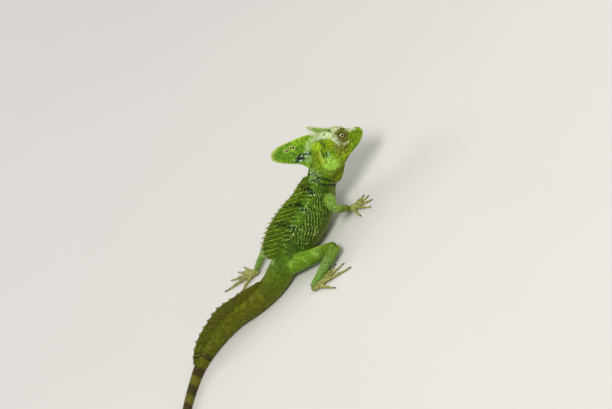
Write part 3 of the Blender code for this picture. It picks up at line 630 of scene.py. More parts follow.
def folds(run, around):
    """Thin ridges of loose skin over the flank, and those that carry the sail's rays on down the back."""
    past = run - BARS[0]
    wobble = 0.014 * np.sin(run * 0.13) + 0.01 * np.sin(run * 0.31 + around * 9)
    line = (1 - np.abs(np.sin(math.pi * 17 * (around - 0.0085 * past + wobble)))) ** 1.2
    line *= along_flank(run) * ease(around, 0.36, 0.46) * ease(-around, -0.82, -0.7)
    rays = (1 - np.abs(np.sin(math.pi * (past + 34 * around) / 5.9))) ** 1.5
    rays *= ease(past, -16, -6) * ease(-past, -88, -74) * ease(-around, -0.42, -0.32)
    return np.clip(line + rays, 0, 1)


def from_ear(x, z):
    """Distances forward of the ear's long axis, and down along it, of points or of a material's nodes."""
    x, z = x - EAR_AT[0], z - EAR_AT[1]
    return x * 0.86 - z * 0.5, x * -0.5 + z * -0.86


def shape_skin(mesh):
    """Evens the skin, blends the joints, sinks it under the scales and cuts the folds of the face."""
    edges = rows_of(mesh.edges, "vertices", 2, np.int32)
    points = points_of(mesh)
    source = nearest_source(points)
    kinds = KINDS[source[:, 0].astype(int)].astype(float)
    for _ in range(3):
        points = spread(points, edges, 1, 0.5)
        points = spread(points, edges, 1, -0.52)
    points = spread(points, edges, 2, 0.4)
    # Where a limb meets the trunk, or a foot its leg, the kinds differ between neighbours
    joint = (np.abs(spread(kinds, edges, 1) - kinds) > 0.02).astype(float)
    joint = np.clip(spread(joint, edges, int(5 / VOXEL)) * 5, 0, 1)
    points = spread(points, edges, int(14 / VOXEL), 0.5, joint)
    put_points(mesh, points)
    mesh.shade_smooth()
    normals = rows_of(mesh.vertex_normals, "vector").astype(float)
    points = points - normals * INSET
    x, y, z = to_head(points).T
    aside = np.abs(y)
    near_head = ease(x, -44, -36)
    # The line of the mouth, with a soft lip on each side of it
    lines = head_lines(x)
    above = z - lines[:, MOUTH]
    lips = -0.75 * bump_at(above, 0, 0.34) + 0.22 * bump_at(above, 1.1, 0.55) + 0.18 * bump_at(above, -1.1, 0.6)
    move = ease(x, MOUTH_END_X - 1, MOUTH_END_X + 4) * near_head * lips
    move *= np.maximum(ease(aside, 0, 0.5), ease(x, 20, 22))
    # Nostrils and ears
    from_nostril = np.stack([x, aside, z], 1) - np.array(NOSTRIL_AT)
    away = np.linalg.norm(from_nostril * (1, 1, 1.25), axis=1)
    move += -1.1 * bump_at(away, 0, 0.75) + 0.16 * bump_at(away, 1.35, 0.4)
    fore, down = from_ear(x, z)
    away = np.hypot(fore / 1.7, down / 4)
    beside = (aside > 6) * near_head
    move += beside * (-0.3 * ease(-away, -1.1, -0.8) + 0.3 * bump_at(away, 0, 0.5))
    move -= 1.2 * beside * bump_at(fore, -1.9, 0.45) * ease(-np.abs(down - 0.6), -3.6, -2.2)
    # A fold behind the ear, from the large crest down to the throat
    across = x + 27.5 + 0.16 * (3 - z)
    fold = ease(z, -20, -14) * ease(-z, -5, -2)
    move += beside * fold * (0.55 * bump_at(across, -1.4, 0.9) - 0.45 * bump_at(across, 0.4, 0.7))
    # The ridge from the nostril to the brow
    move += 0.35 * bump_at(aside - lines[:, RIDGE_Y], 0, 1.1) * ease(z, -5, 0) * ease(x, -12, -6)
    move *= near_head
    # Loose skin: the flank, and the folds across the throat and the side of the neck
    around = 1 - np.abs(1 - 2 * source[:, 2])
    trunk = (source[:, 0] == 0) * (1 - joint)
    folded = along_flank(source[:, 1]) * ease(-around, -0.84, -0.7)
    move += trunk * folded * (0.72 * folds(source[:, 1], around) - 0.5)
    for place, depth, low in ((-7, 0.8, 0.42), (-1, 0.65, 0.5), (6, 0.5, 0.58)):
        across = source[:, 1] - HEAD_RUN - place - 3 * np.sin(4 * around)
        groove = -depth * bump_at(across, 0, 0.8) + 0.45 * depth * bump_at(across, -2.2, 1.3)
        move += groove * trunk * ease(around, low, low + 0.2)
    points = points + normals * move[:, None]
    points[:, 2] = np.maximum(points[:, 2], OFF_FLOOR)
    put_points(mesh, points)
    return edges


def finer_head(mesh):
    """Splits the faces of the face once more, so that its folds are sharp."""
    work = bmesh.new()
    work.from_mesh(mesh)
    work.verts.ensure_lookup_table()
    head = to_head(points_of(mesh))
    inside = set(np.nonzero(head[:, 0] > -30)[0].tolist())
    inner = [edge for edge in work.edges if edge.verts[0].index in inside and edge.verts[1].index in inside]
    bmesh.ops.subdivide_edges(work, edges=inner, cuts=1, use_grid_fill=True)
    work.to_mesh(mesh)
    work.free()


# Materials


class Value:
    """A node's output, for use in sums."""

    def __init__(self, graph, socket):
        self.graph, self.socket = graph, socket

    def math(self, operation, other=0):
        return self.graph.node("ShaderNodeMath", {0: self, 1: other}, operation=operation)[0]

    def __add__(self, other):
        return self.math("ADD", other)

    def __sub__(self, other):
        return self.math("SUBTRACT", other)

    def __mul__(self, other):
        return self.math("MULTIPLY", other)

    def __abs__(self):
        return self.math("ABSOLUTE")

    def ease(self, low, high):
        """0 at low, 1 at high and smooth between them."""
        inputs = {"Value": self, "From Min": low, "From Max": high}
        return self.graph.node("ShaderNodeMapRange", inputs, interpolation_type="SMOOTHSTEP")[0]

    def band(self, centre, half, soft):
        """1 within half of the centre, and 0 past that by soft."""
        return abs(self - centre).ease(half + soft, half)

    def noise(self, scale, detail=3):
        return self.graph.node("ShaderNodeTexNoise", {"Vector": self, "Scale": scale, "Detail": detail})["Fac"]

    def cells(self, scale):
        return self.graph.node("ShaderNodeTexVoronoi", {"Vector": self, "Scale": scale})

    def spots(self, scale, radius, share):
        """Round spots, in this share of the cells."""
        cells = self.cells(scale)
        return cells["Distance"].ease(radius, radius * 0.6) * cells["Color"].xyz()[0].math("LESS_THAN", share)

    def xyz(self):
        parts = self.graph.node("ShaderNodeSeparateXYZ", {0: self})
        return parts[0], parts[1], parts[2]

    def lay(self, colour, share):
        """Lays another colour over this one, as far as share says."""
        self.socket = self.graph.mix(self, colour, share).socket


class Graph:
    """The nodes of a material."""

    def __init__(self, name, on_scales=False):
        self.on_scales = on_scales
        self.material = bpy.data.materials.new(name)
        self.material.use_nodes = True
        self.tree = self.material.node_tree
        self.shader = self.tree.nodes["Principled BSDF"]

    def node(self, kind, inputs=None, **settings):
        """Makes a node, and gives its outputs by number and by name."""
        made = self.tree.nodes.new(kind)
        for key, value in settings.items():
            setattr(made, key, value)
        for key, value in (inputs or {}).items():
            if isinstance(value, Value):
                self.tree.links.new(value.socket, made.inputs[key])
            else:
                made.inputs[key].default_value = (*value, 1) if isinstance(value, tuple) else value
        return {key: Value(self, out) for number, out in enumerate(made.outputs) for key in (number, out.name)}

    def attribute(self, name, output="Fac"):
        return self.node("ShaderNodeAttribute", attribute_name=name)[output]

    def place(self):
        return self.node("ShaderNodeTexCoord")["Object"]

    def pair(self, x, y):
        return self.node("ShaderNodeCombineXYZ", {0: x, 1: y})[0]

    def mix(self, below, colour, share):
        return self.node("ShaderNodeMix", {6: below, 7: colour, 0: share}, data_type="RGBA")[2]

    def pick(self, place):
        """A chance value, the same over one scale."""
        return self.attribute("tint") if self.on_scales else place.noise(650, 1)

    def finish(self, colour, bump=None, **values):
        """Joins a colour and a bump (height, strength, depth in millimetres) to the shader, and sets its values."""
        self.tree.links.new(colour.socket, self.shader.inputs["Base Color"])
        if bump:
            inputs = {"Height": bump[0], "Strength": bump[1], "Distance": bump[2] * MM}
            self.tree.links.new(self.node("ShaderNodeBump", inputs)[0].socket, self.shader.inputs["Normal"])
        for key, value in values.items():
            self.shader.inputs[key.replace("_", " ")].default_value = value
        return self.material

    def finish_coat(self, colour, bare, roughness, specular):
        """Each scale is a little lighter or darker than the next, and bare skin or web is pebbled and darkened with
        painted shade, as in the gaps between scales.
        """
        place = self.place()
        # bare gives the darkening of bare skin or web, painted shade for the gaps between scales, then its
        # saturation, the size of its cells and the bump's strength
        value, saturation, cells, strength = bare
        if self.on_scales:
            value, saturation = self.attribute("tint") * 0.62 + 0.74, 1
            bump = place.noise(2600), 0.25, 0.05
        else:
            bump = place.cells(cells)["Distance"], strength, 0.12
        inputs = {"Color": colour, "Value": value, "Saturation": saturation}
        colour = self.node("ShaderNodeHueSaturation", inputs)[0]
        return self.finish(colour, bump, Roughness=roughness, Specular_IOR_Level=specular)


def distance(x, z, at_x, at_z):
    dx, dz = x - at_x, z - at_z
    return (dx * dx + dz * dz).math("SQRT")


BODY_GREEN, BODY_LIGHT, BODY_DARK = (0.08, 0.172, 0.003), (0.145, 0.3, 0.008), (0.02, 0.05, 0.001)
SAIL_GREEN, SAIL_LIGHT, SAIL_RIDGE = (0.098, 0.18, 0.003), (0.17, 0.3, 0.006), (0.32, 0.43, 0.04)
BELLY, STRIPE_GREEN, BLOTCH_PALE = (0.2, 0.27, 0.05), (0.115, 0.28, 0.012), (0.42, 0.58, 0.2)
OLIVE, OLIVE_LIGHT, OLIVE_DARK = (0.112, 0.118, 0.001), (0.175, 0.18, 0.002), (0.05, 0.052, 0.001)
TAIL_GREEN, TAIL_OCHRE = (0.1, 0.128, 0.001), (0.135, 0.125, 0.008)
TAIL_BROWN, TAIL_TAN = (0.042, 0.028, 0.005), (0.17, 0.14, 0.03)
# The first colour here is a painted highlight for the crests of the flank's folds
FOLD_HIGHLIGHT, TIP_PALE = (0.275, 0.4, 0.065), (0.5, 0.46, 0.26)
BLACK, WHITE_BLUE, PALE_DOT = (0.004, 0.008, 0.004), (0.46, 0.6, 0.42), (0.52, 0.62, 0.16)
HEAD_GREEN, HEAD_YELLOW, HEAD_BROWN = (0.185, 0.33, 0.004), (0.33, 0.46, 0.006), (0.095, 0.082, 0.006)
HEAD_DARK, CROWN_PALE, CHEEK_PALE = (0.045, 0.1, 0.003), (0.6, 0.62, 0.4), (0.3, 0.31, 0.07)
BAND_WHITE, BAND_PALE = (0.62, 0.72, 0.46), (0.34, 0.54, 0.15)
JAW_GREEN, THROAT, DEWLAP_GREEN = (0.38, 0.67, 0.09), (0.23, 0.31, 0.01), (0.125, 0.165, 0.005)
# Of the ear's colours, the slit's is painted shade and the fold's a painted highlight
EAR_GREEN, EAR_SLIT_SHADE, EAR_FOLD_HIGHLIGHT = (0.36, 0.66, 0.24), (0.006, 0.028, 0.006), (0.42, 0.64, 0.07)
EAR_YELLOW, TEMPLE_GREEN = (0.46, 0.44, 0.01), (0.36, 0.54, 0.012)
LID_OLIVE, LID_PALE = (0.11, 0.125, 0.006), (0.26, 0.27, 0.03)
LIMB_GREEN, LIMB_PALE, LIMB_DARK = (0.155, 0.32, 0.008), (0.27, 0.47, 0.06), (0.063, 0.128, 0.003)
# Upper arm: painted highlight; forearm: olive, partly its own colour and partly painted shade
UPPER_ARM_LIGHT, FOREARM_OLIVE_SHADE = (0.27, 0.45, 0.08), (0.11, 0.15, 0.008)
# The shank's colour is a painted sheen
KNEE, SHANK_SHEEN = (0.095, 0.15, 0.006), (0.2, 0.33, 0.09)
PAW_TAN, PAW_PALE = (0.24, 0.235, 0.05), (0.42, 0.45, 0.15)
CREST_GREEN, CREST_YELLOW, CREST_DARK = (0.165, 0.365, 0.002), (0.27, 0.5, 0.004), (0.05, 0.15, 0.008)
CREST_BLUE, HORN_PALE = (0.012, 0.07, 0.035), (0.3, 0.42, 0.11)
IRIS_GOLD, IRIS_BROWN, IRIS_RING = (0.42, 0.29, 0.025), (0.13, 0.065, 0.008), (0.95, 0.84, 0.24)
EYE_RIM, PUPIL = (0.035, 0.022, 0.006), (0.002, 0.002, 0.002)
CLAW_DARK, CLAW_PALE = (0.035, 0.024, 0.014), (0.14, 0.1, 0.06)
FLOOR_GREY, FLOOR_PALE = (0.72, 0.71, 0.69), (0.77, 0.76, 0.74)

# The large crest's black spots, as x and z in the head's axes and radius, all in millimetres
CREST_SPOTS = [(-52.4, 15.8, 1.6), (-54.8, 16.8, 1.2), (-60.4, 16.8, 1.4), (-62.6, 18, 0.8)]
# Rows of pale dots on the flank: how far down from the back (0) to the belly (1), and from where to where along it
DOT_ROWS = [(0.34, BARS[0], BARS[2] + 30), (0.66, BARS[1] - 8, BARS[2] + 26)]
# Colours of a sail (ground, patches, hollows, rays, lines between rays), and the strength of the web's dark, of the
# rays, of the lines and of the pale tips
SAIL_LOOKS = {
    "back": (SAIL_GREEN, SAIL_LIGHT, BODY_DARK, SAIL_RIDGE, SAIL_LIGHT, 0.75, 0.9, 0.8, 0.8),
    "tail": (OLIVE, TAIL_GREEN, OLIVE_DARK, OLIVE_LIGHT, OLIVE_LIGHT, 0.2, 0.4, 0.3, 0.55),
}


def speckled_band(colour, run, wave, pick):
    """The tail's first band, thin and broken: two rows of dark specks with tan between them."""
    from_middle = abs(run + wave * 5 - (BANDS_RUN - 19.5))
    colour.lay(TAIL_TAN, from_middle.ease(3.2, 1.4) * 0.35)
    colour.lay(BLACK, from_middle.band(2.3, 1, 0.8) * pick.ease(0.32, 0.4) * 0.95)


def trunk_colour(g, place, run, around, fold):
    """Colours of the trunk behind the head. Around goes from 0 on the back to 1 on the belly."""
    broad, middle, fine = place.noise(42), place.noise(150), place.noise(520, 4)
    colour = g.mix(BODY_GREEN, BODY_LIGHT, broad.ease(0.44, 0.68))
    colour.lay(BODY_DARK, middle.ease(0.46, 0.66) * 0.6)
    colour.lay(BODY_DARK, fine.ease(0.5, 0.64) * 0.7)
    colour.lay(BODY_LIGHT, fine.ease(0.44, 0.32) * 0.55)
    # Painted shade darkens the skin in the hollows between the thin folds of the flank
    flank = around.band(0.42, 0.34, 0.1) * run.ease(BARS[0] - 16, BARS[0])
    flank = flank * run.ease(BARS[2] + 36, BARS[2] + 10)
    colour.lay(BODY_DARK, flank * fold.ease(0.4, 0.05) * 0.9)
    # Painted highlight along the thin crests of the folds
    colour.lay(FOLD_HIGHLIGHT, fold.ease(0.42, 0.8) * middle.ease(0.3, 0.5) * 0.85)
    # A brighter stripe over the shoulder, between the rays of the back and the folds of the flank
    stripe = around.band(0.31, 0.07, 0.07) * run.band(BARS[0] + 12, 34, 16)
    colour.lay(STRIPE_GREEN, stripe * middle.ease(0.34, 0.52) * 0.6)
    pick = g.pick(place)
    dots = flank * around.ease(0.36, 0.48) * fold.ease(0.45, 0.6) * pick.ease(0.945, 0.96)
    colour.lay(PALE_DOT, dots * 0.9)
    colour.lay(BELLY, around.ease(0.66, 0.9) * 0.8)
    # The tail turns to olive, and is banded past its sail
    tail = g.mix(OLIVE, TAIL_GREEN, broad.ease(0.46, 0.6))
    tail.lay(OLIVE_LIGHT, middle.ease(0.5, 0.66))
    tail.lay(OLIVE_DARK, fine.ease(0.48, 0.66) * 0.65)
    colour.lay(tail, (run + broad * 40).ease(VENT_RUN - 26, VENT_RUN + 44))
    past = run - BANDS_RUN
    wave = ((past + (middle - 0.5) * 10) * (2 * math.pi / BAND_STEP)).math("COSINE")
    dark = wave.ease(-0.45, 0.15) * past.ease(-13, -9)
    colour.lay(g.mix(TAIL_OCHRE, TAIL_TAN, past.ease(50, 190)), past.ease(-8, 0) * 0.7)
    colour.lay(TAIL_BROWN, dark * place.noise(300).ease(0.22, 0.46) * 0.94)
    speckled_band(colour, run, middle, pick)
    # Dark broken bars over the back, each with pale flecks at its edge
    for centre in BARS:
        bar = run.band(centre + 2, 1.6, 2.6) * around.ease(0.44, 0.34)
        colour.lay(BLACK, bar * place.noise(430).ease(0.43, 0.49) * 0.97)
        edge = run.band(centre + 3, 3.4, 1.6) * around.ease(0.48, 0.38) * around.ease(0.2, 0.3)
        colour.lay(WHITE_BLUE, edge * pick.ease(0.9, 0.93) * 0.85)
    # A pale blotch where the back's sail ends
    blotch = run.band(BLOTCH_RUN, 3.5, 3) * around.ease(0.24, 0.14) * middle.ease(0.4, 0.52)
    colour.lay(BLOTCH_PALE, blotch * pick.ease(0.3, 0.5) * 0.75)
    for height, start, end in DOT_ROWS:
        row = (around + (broad - 0.5) * 0.22).band(height, 0.012, 0.012)
        row = row * run.band((start + end) / 2, (end - start) / 2, 3)
        colour.lay(PALE_DOT, row * pick.ease(0.84, 0.88) * 0.9)
    # The neck: a net of black and whitish scales
    collar = run.band(NECK_RUN - 4, 8, 5) * around.ease(0.62, 0.38)
    colour.lay(LIMB_PALE, collar * 0.55)
    colour.lay(BLACK, collar * place.noise(260).ease(0.5, 0.55) * 0.95)
    colour.lay(WHITE_BLUE, collar * place.noise(150, 2).ease(0.4, 0.55) * pick.ease(0.84, 0.88) * 0.9)
    # Painted shade: black in the hollows of the folds across the neck
    for centre, half in ((HEAD_RUN + 6, 0.8), (HEAD_RUN - 1, 1)):
        across = run - (around * 4).math("SINE") * 3
        colour.lay(BLACK, across.band(centre, half, 0.8) * around.ease(0.4, 0.52) * 0.9)
    return colour


def pale_arc(place, x, z):
    """The whitish band that runs from the brow back over the temple and down the front of the large crest."""
    arc = distance(x, z, -25, -8).band(20, 2.4, 2.6) * x.ease(-2, -8) * z.ease(-12, -3)
    return arc * place.noise(260).ease(0.26, 0.5)


def band_colour(g, x):
    """Whitish over the temple, and pale green further down the crest."""
    return g.mix(BAND_WHITE, BAND_PALE, x.ease(-20, -34))


def head_colour(g, place, head):
    """Colours of the head, from its own axes in millimetres."""
    x, _, z = head.xyz()
    broad, middle, fine = place.noise(75), place.noise(210), place.noise(560, 4)
    # Strokes that run down and back over the cheek
    strokes = g.pair(x * 0.2, (z - x * 0.14) * 0.85).noise(1)
    colour = g.mix(HEAD_GREEN, HEAD_YELLOW, broad.ease(0.42, 0.62))
    colour.lay(HEAD_DARK, strokes.ease(0.5, 0.62) * x.ease(14, 6) * 0.75)
    colour.lay(HEAD_DARK, fine.ease(0.52, 0.62) * 0.6)
    # Throat, jaw and dewlap
    colour.lay(THROAT, z.ease(-22, -30) * 0.9)
    from_jaw = distance(x, z, -27, -21.5) + (middle - 0.5) * 9
    colour.lay(JAW_GREEN, from_jaw.ease(13, 4.5) * strokes.ease(0.72, 0.48) * 0.92)
    # Painted shadow: a dark line under the jaw's swelling
    jaw_shadow = distance(x, z, -25, -20).band(11, 0.6, 1.2) * z.ease(-22, -28) * x.ease(-20, -26)
    colour.lay(HEAD_DARK, jaw_shadow * 0.6)
    colour.lay(DEWLAP_GREEN, z.ease(-31, -36) * 0.7)
    stripes = abs(((x + z * 0.6) * 0.9).math("SINE"))
    colour.lay(HEAD_BROWN, stripes.ease(0.35, 0.1) * z.ease(-33, -36) * 0.5)
    # Yellow streaks behind the ear, and the bright swelling under the crest
    streak = x.band(-33, 1.2, 1.6) * z.band(-11, 5, 3)
    colour.lay(EAR_YELLOW, streak * fine.ease(0.4, 0.55) * 0.8)
    colour.lay(TEMPLE_GREEN, distance(x, z, -30, 3.6).ease(7, 3))
    # The fold from the large crest down behind the ear: a painted highlight along it, with painted shade in the
    # hollow in front of it
    across, length = x + 27.98 + z * -0.16, z.band(-11, 6.5, 3)
    colour.lay(EAR_FOLD_HIGHLIGHT, across.band(-1.9, 1.1, 0.7) * length * middle.ease(0.34, 0.5) * 0.75)
    colour.lay(HEAD_DARK, across.band(0.7, 0.8, 0.5) * length * middle.ease(0.36, 0.46) * 0.85)
    # Olive brown in strokes over the cheek, and even on the lids
    colour.lay(HEAD_BROWN, distance(x, z, -6, -12).ease(11.5, 6) * strokes.ease(0.42, 0.52) * 0.9)
    colour.lay(CHEEK_PALE, distance(x, z, -7, -11).ease(10, 7) * g.pick(place).ease(0.7, 0.8) * 0.7)
    from_eye = distance(x, z, EYE_AT[0] + 0.4, EYE_AT[2])
    colour.lay(g.mix(LID_OLIVE, LID_PALE, fine.ease(0.5, 0.62)), from_eye.ease(8.6, 7.4) * 0.95)
    colour.lay(CROWN_PALE, from_eye.band(8.2, 0.25, 0.6) * x.ease(3, -3) * fine.ease(0.4, 0.55) * 0.6)
    colour.lay(BLACK, from_eye.ease(4.3, 3.5) * 0.85)
    colour.lay(CROWN_PALE, z.band(-11.2, 0.55, 0.6) * x.band(1.4, 3.2, 1.6) * 0.75)
    # Whitish brows with black flecks, the pale ridge from brow to snout, and the pale rim of the chin
    brow = z.ease(5.8, 7.6) * x.band(0.5, 5.5, 2)
    colour.lay(CROWN_PALE, brow * 0.9)
    colour.lay(BLACK, brow * place.spots(420, 0.34, 0.4) * 0.85)
    ridge = (z + (x - 18) * 0.36).band(-3, 1.3, 1) * x.band(13.5, 5, 2.5) * middle.ease(0.3, 0.5)
    colour.lay(CROWN_PALE, ridge * 0.9)
    rim = (z - (x - 24) * 0.633).ease(-11.6, -12.8) * x.ease(5, 9) * middle.ease(0.25, 0.45)
    colour.lay(BAND_PALE, rim * 0.85)
    colour.lay(band_colour(g, x), pale_arc(place, x, z) * 0.95)
    # The ear: a tall pale drum, with painted shade in the slit behind it, and a dark line of painted shade for a
    # crease further up
    fore, down = from_ear(x, z)
    drum = distance(fore * (1 / 1.5), down * (1 / 3.9), 0, 0).ease(1.3, 0.8)
    colour.lay(EAR_GREEN, drum * 0.95)
    colour.lay(EAR_SLIT_SHADE, fore.band(-1.9, 0.4, 0.5) * down.band(0.6, 2.4, 1) * 0.95)
    # Painted shade: a dark crease line above the ear
    colour.lay(BODY_DARK, (x + z * 0.12).band(-22, 0.6, 0.5) * z.band(1.4, 3, 1) * 0.85)
    # Painted shade: the nostril's hollow is black
    from_nostril = distance(x, z * 1.25, NOSTRIL_AT[0], NOSTRIL_AT[2] * 1.25)
    colour.lay(BLACK, from_nostril.ease(1.3, 0.8) * 0.95)
    return colour


def limb_colour(g, place, paw):
    """The arms carry a painted highlight above the elbow and are a darker olive below it, partly their own colour
    and partly painted shade; a leg is duller towards the knee and has a painted sheen along the shank.
    """
    broad, fine = place.noise(90), place.noise(520, 4)
    x, y, z = place.xyz()  # in metres
    aside, in_front = abs(y), x.ease(0.095, 0.105)
    colour = g.mix(LIMB_GREEN, LIMB_PALE, broad.ease(0.42, 0.64))
    # Painted highlight over the upper arm, and below the elbow an olive that is partly the forearm's own colour and
    # partly painted shade
    colour.lay(UPPER_ARM_LIGHT, in_front * z.ease(0.02, 0.028) * 0.65)
    colour.lay(FOREARM_OLIVE_SHADE, in_front * z.ease(0.03, 0.018) * 0.6)
    colour.lay(KNEE, distance(x, aside, 0.08, 0.056).ease(0.022, 0.008) * 0.6)
    # Painted sheen: paler along the shank
    colour.lay(SHANK_SHEEN, aside.ease(0.049, 0.053) * x.ease(0.08, 0.064) * 0.55)
    colour.lay(LIMB_DARK, fine.ease(0.48, 0.64) * 0.75)
    colour.lay(LIMB_PALE, place.spots(300, 0.34, 0.25) * 0.5)
    paw_colour = g.mix(PAW_TAN, PAW_PALE, fine.ease(0.4, 0.62))
    colour.lay(paw_colour, (paw + (broad - 0.5) * 1.2).ease(0.1, 0.75))
    return colour


def hide_material(name, on_scales):
    """Skin and scales share it. On scales each one keeps the colour of its root."""
    g = Graph(name, on_scales)
    place = g.attribute("root", "Vector")
    colour = trunk_colour(g, place, g.attribute("run"), g.attribute("around"), g.attribute("fold"))
    colour.lay(head_colour(g, place, g.attribute("head", "Vector")), g.attribute("skull"))
    colour.lay(limb_colour(g, place, g.attribute("paw")), g.attribute("limb"))
    roughness, specular = (0.4, 0.17) if on_scales else (0.6, 0.2)
    # The bare skin's value 0.62 is painted shade between the scales
    return g.finish_coat(colour, (0.62, 0.95, 1500, 0.5), roughness, specular)


def crest_colour(g, place, out, along, noises):
    broad, middle, fine = noises
    colour = g.mix(CREST_GREEN, CREST_YELLOW, broad.ease(0.46, 0.66))
    colour.lay(CREST_DARK, g.pair(out * 9, along * 60).noise(1, 2).ease(0.5, 0.55) * 0.9)
    colour.lay(CREST_DARK, fine.ease(0.56, 0.62) * 0.35)
    x, _, z = g.attribute("head", "Vector").xyz()
    colour.lay(TEMPLE_GREEN, distance(x, z, -30, 3.6).ease(7, 3))
    colour.lay(band_colour(g, x), pale_arc(place, x, z) * z.ease(17, 13.5) * 0.95)
    # Black and whitish flecks near the lower edge, and black spots with a pale ring
    low = distance(x * 0.36, z, -17.6, 1.2).ease(4.8, 3) * x.ease(-20, -26)
    colour.lay(CREST_BLUE, low * middle.ease(0.44, 0.56) * 0.8)
    colour.lay(WHITE_BLUE, low * place.noise(300, 2).ease(0.5, 0.55) * x.ease(-38, -42) * 0.85)
    colour.lay(BLACK, low * place.noise(330).ease(0.48, 0.52) * 0.97)
    for spot_x, spot_z, radius in CREST_SPOTS:
        away = distance(x, z, spot_x, spot_z)
        colour.lay(PALE_DOT, away.ease(radius + 1.5, radius + 0.8) * 0.7)
        colour.lay(BLACK, away.ease(radius + 0.3, radius - 0.2) * 0.95)
    # The edge is pale, and the small crest is whitish to its tip
    colour.lay(PALE_DOT, out.ease(0.9, 0.97) * 0.75)
    small = x.ease(-29.5, -28) * z.ease(9.5, 11.5)
    colour.lay(HORN_PALE, small * 0.6)
    colour.lay(CROWN_PALE, small * out.ease(0.7, 0.86) * 0.9)
    return colour


def sail_colour(g, place, out, ray, noises, kind):
    broad, middle, fine = noises
    ground, patch, dark, ridge, light, in_web, on_ray, on_line, at_tip = SAIL_LOOKS[kind]
    run = g.attribute("run")
    colour = g.mix(ground, patch, broad.ease(0.38, 0.62))
    colour.lay(dark, middle.ease(0.46, 0.64) * 0.5)
    colour.lay(dark, ray.band(0.45, 0.3, 0.15) * in_web)
    colour.lay(ridge, ray.ease(0.86, 0.96) * middle.ease(0.3, 0.5) * on_ray)
    colour.lay(light, ray.ease(0.1, 0.03) * on_line)
    colour.lay(dark, fine.ease(0.5, 0.66) * 0.6)
    if kind == "back":
        slant = run + out * 8
        for centre in BARS:
            bar = slant.band(centre, 1.6, 2.4) * out.ease(0.92, 0.7)
            colour.lay(BLACK, bar * place.noise(430).ease(0.47, 0.52) * 0.97)
    else:
        speckled_band(colour, run, middle, g.pick(place))
    colour.lay(TIP_PALE, out.ease(0.88, 0.97) * ray.ease(0.5, 0.85) * at_tip)
    return colour


def fin_material(name, on_scales, kind):
    """The crests and sails. Their attribute fin is (share from root to edge, share along, ray)."""
    g = Graph(name, on_scales)
    place = g.attribute("root", "Vector")
    out, along, ray = g.attribute("fin", "Vector").xyz()
    noises = place.noise(60), place.noise(170), place.noise(520, 4)
    if kind == "crest":
        colour = crest_colour(g, place, out, along, noises)
    else:
        colour = sail_colour(g, place, out, ray, noises, kind)
    # The web's value 0.7 is painted shade between the scales
    return g.finish_coat(colour, (0.7, 1, 1300, 0.4), 0.44, 0.22)


def eye_material():
    """Polar is the angle from the middle of the pupil, in radians, and turn the angle round it."""
    g = Graph("eye_surface")
    polar, turn = g.attribute("polar"), g.attribute("turn")
    colour = g.mix(IRIS_GOLD, IRIS_BROWN, g.pair(turn * 9, polar * 6).noise(1.6, 4).ease(0.38, 0.56))
    colour.lay(IRIS_RING, polar.band(0.385, 0.02, 0.05) * 0.9)
    colour.lay(EYE_RIM, polar.ease(0.54, 0.62))
    colour.lay(PUPIL, polar.ease(0.355, 0.335))
    return g.finish(colour, Roughness=0.18, Coat_Weight=1, Coat_Roughness=0.02, Specular_IOR_Level=0.5)


def claw_material():
    g = Graph("claw_horn")
    place = g.place()
    colour = g.mix(CLAW_DARK, CLAW_PALE, place.noise(700, 4).ease(0.42, 0.7))
    return g.finish(colour, (place.noise(2400, 2), 0.3, 0.05), Roughness=0.34)


def floor_material():
    g = Graph("studio_floor")
    return g.finish(g.mix(FLOOR_GREY, FLOOR_PALE, g.place().noise(3, 2)), Roughness=0.85)


# Scales

SCALE_SIDES = 6
SCALE_HEIGHT, SCALE_OFF_FLOOR = 0.34, 0.03
MAP_MARGIN, MAP_PATCH = 0.01, 0.0019  # of the map OFBake, meant for the scales' colours
ROW_COVER = 0.8  # the share of a scale's length that the next row leaves bare


def scale_shape():
    """One scale: (back, across, up) of its points with its root at the origin, and its triangles."""
    turn = np.arange(SCALE_SIDES) * 2 * math.pi / SCALE_SIDES
    rim = np.stack([0.62 * np.cos(turn), 0.56 * np.sin(turn), np.full(SCALE_SIDES, -0.35)], 1)
    crown = np.stack([0.4 * np.cos(turn) + 0.06, 0.36 * np.sin(turn), np.full(SCALE_SIDES, 0.62)], 1)
    crown[:, 2] += 0.42 * np.cos(turn)
    rim[0, 0], rim[0, 2] = 0.78, 0.1
    top = np.array([[0.12, 0, 1]])
    points = np.concatenate([rim, crown, top])
    triangles = []
    for k in range(SCALE_SIDES):
        after = (k + 1) % SCALE_SIDES
        triangles += [(k, after, SCALE_SIDES + after), (k, SCALE_SIDES + after, SCALE_SIDES + k)]
        triangles.append((SCALE_SIDES + k, SCALE_SIDES + after, 2 * SCALE_SIDES))
    return points, np.array(triangles)


SCALE_POINTS, SCALE_TRIANGLES = scale_shape()


def scales_mesh(name, places, normals, back, lengths, widths, heights, unwrap):
    """All scales of one piece as one mesh, each a small patch of the map at its root's place on the unwrap."""
    normals = unit(normals)
    back = unit(back - normals * np.sum(back * normals, 1, keepdims=True))
    across = np.cross(normals, back)
    local = SCALE_POINTS[None] * np.stack([lengths, widths, heights], 1)[:, None]
    points = places[:, None] + back[:, None] * local[..., :1] + across[:, None] * local[..., 1:2]
    points = points + normals[:, None] * local[..., 2:]
    points[..., 2] = np.maximum(points[..., 2], SCALE_OFF_FLOOR)
    corners = len(SCALE_POINTS)
    triangles = SCALE_TRIANGLES[None] + (np.arange(len(places)) * corners)[:, None, None]
    mesh = triangles_to_mesh(name, points.reshape(-1, 3), triangles.reshape(-1, 3))
    layer = mesh.uv_layers.new(name="OFBake")
    patch = unwrap[:, None] * (1 - 2 * MAP_MARGIN) + MAP_MARGIN + SCALE_POINTS[None, :, :2] * MAP_PATCH
    uv = patch[:, SCALE_TRIANGLES.ravel()].reshape(-1, 2)
    layer.data.foreach_set("uv", uv.astype(np.float32).ravel())
    return mesh, corners


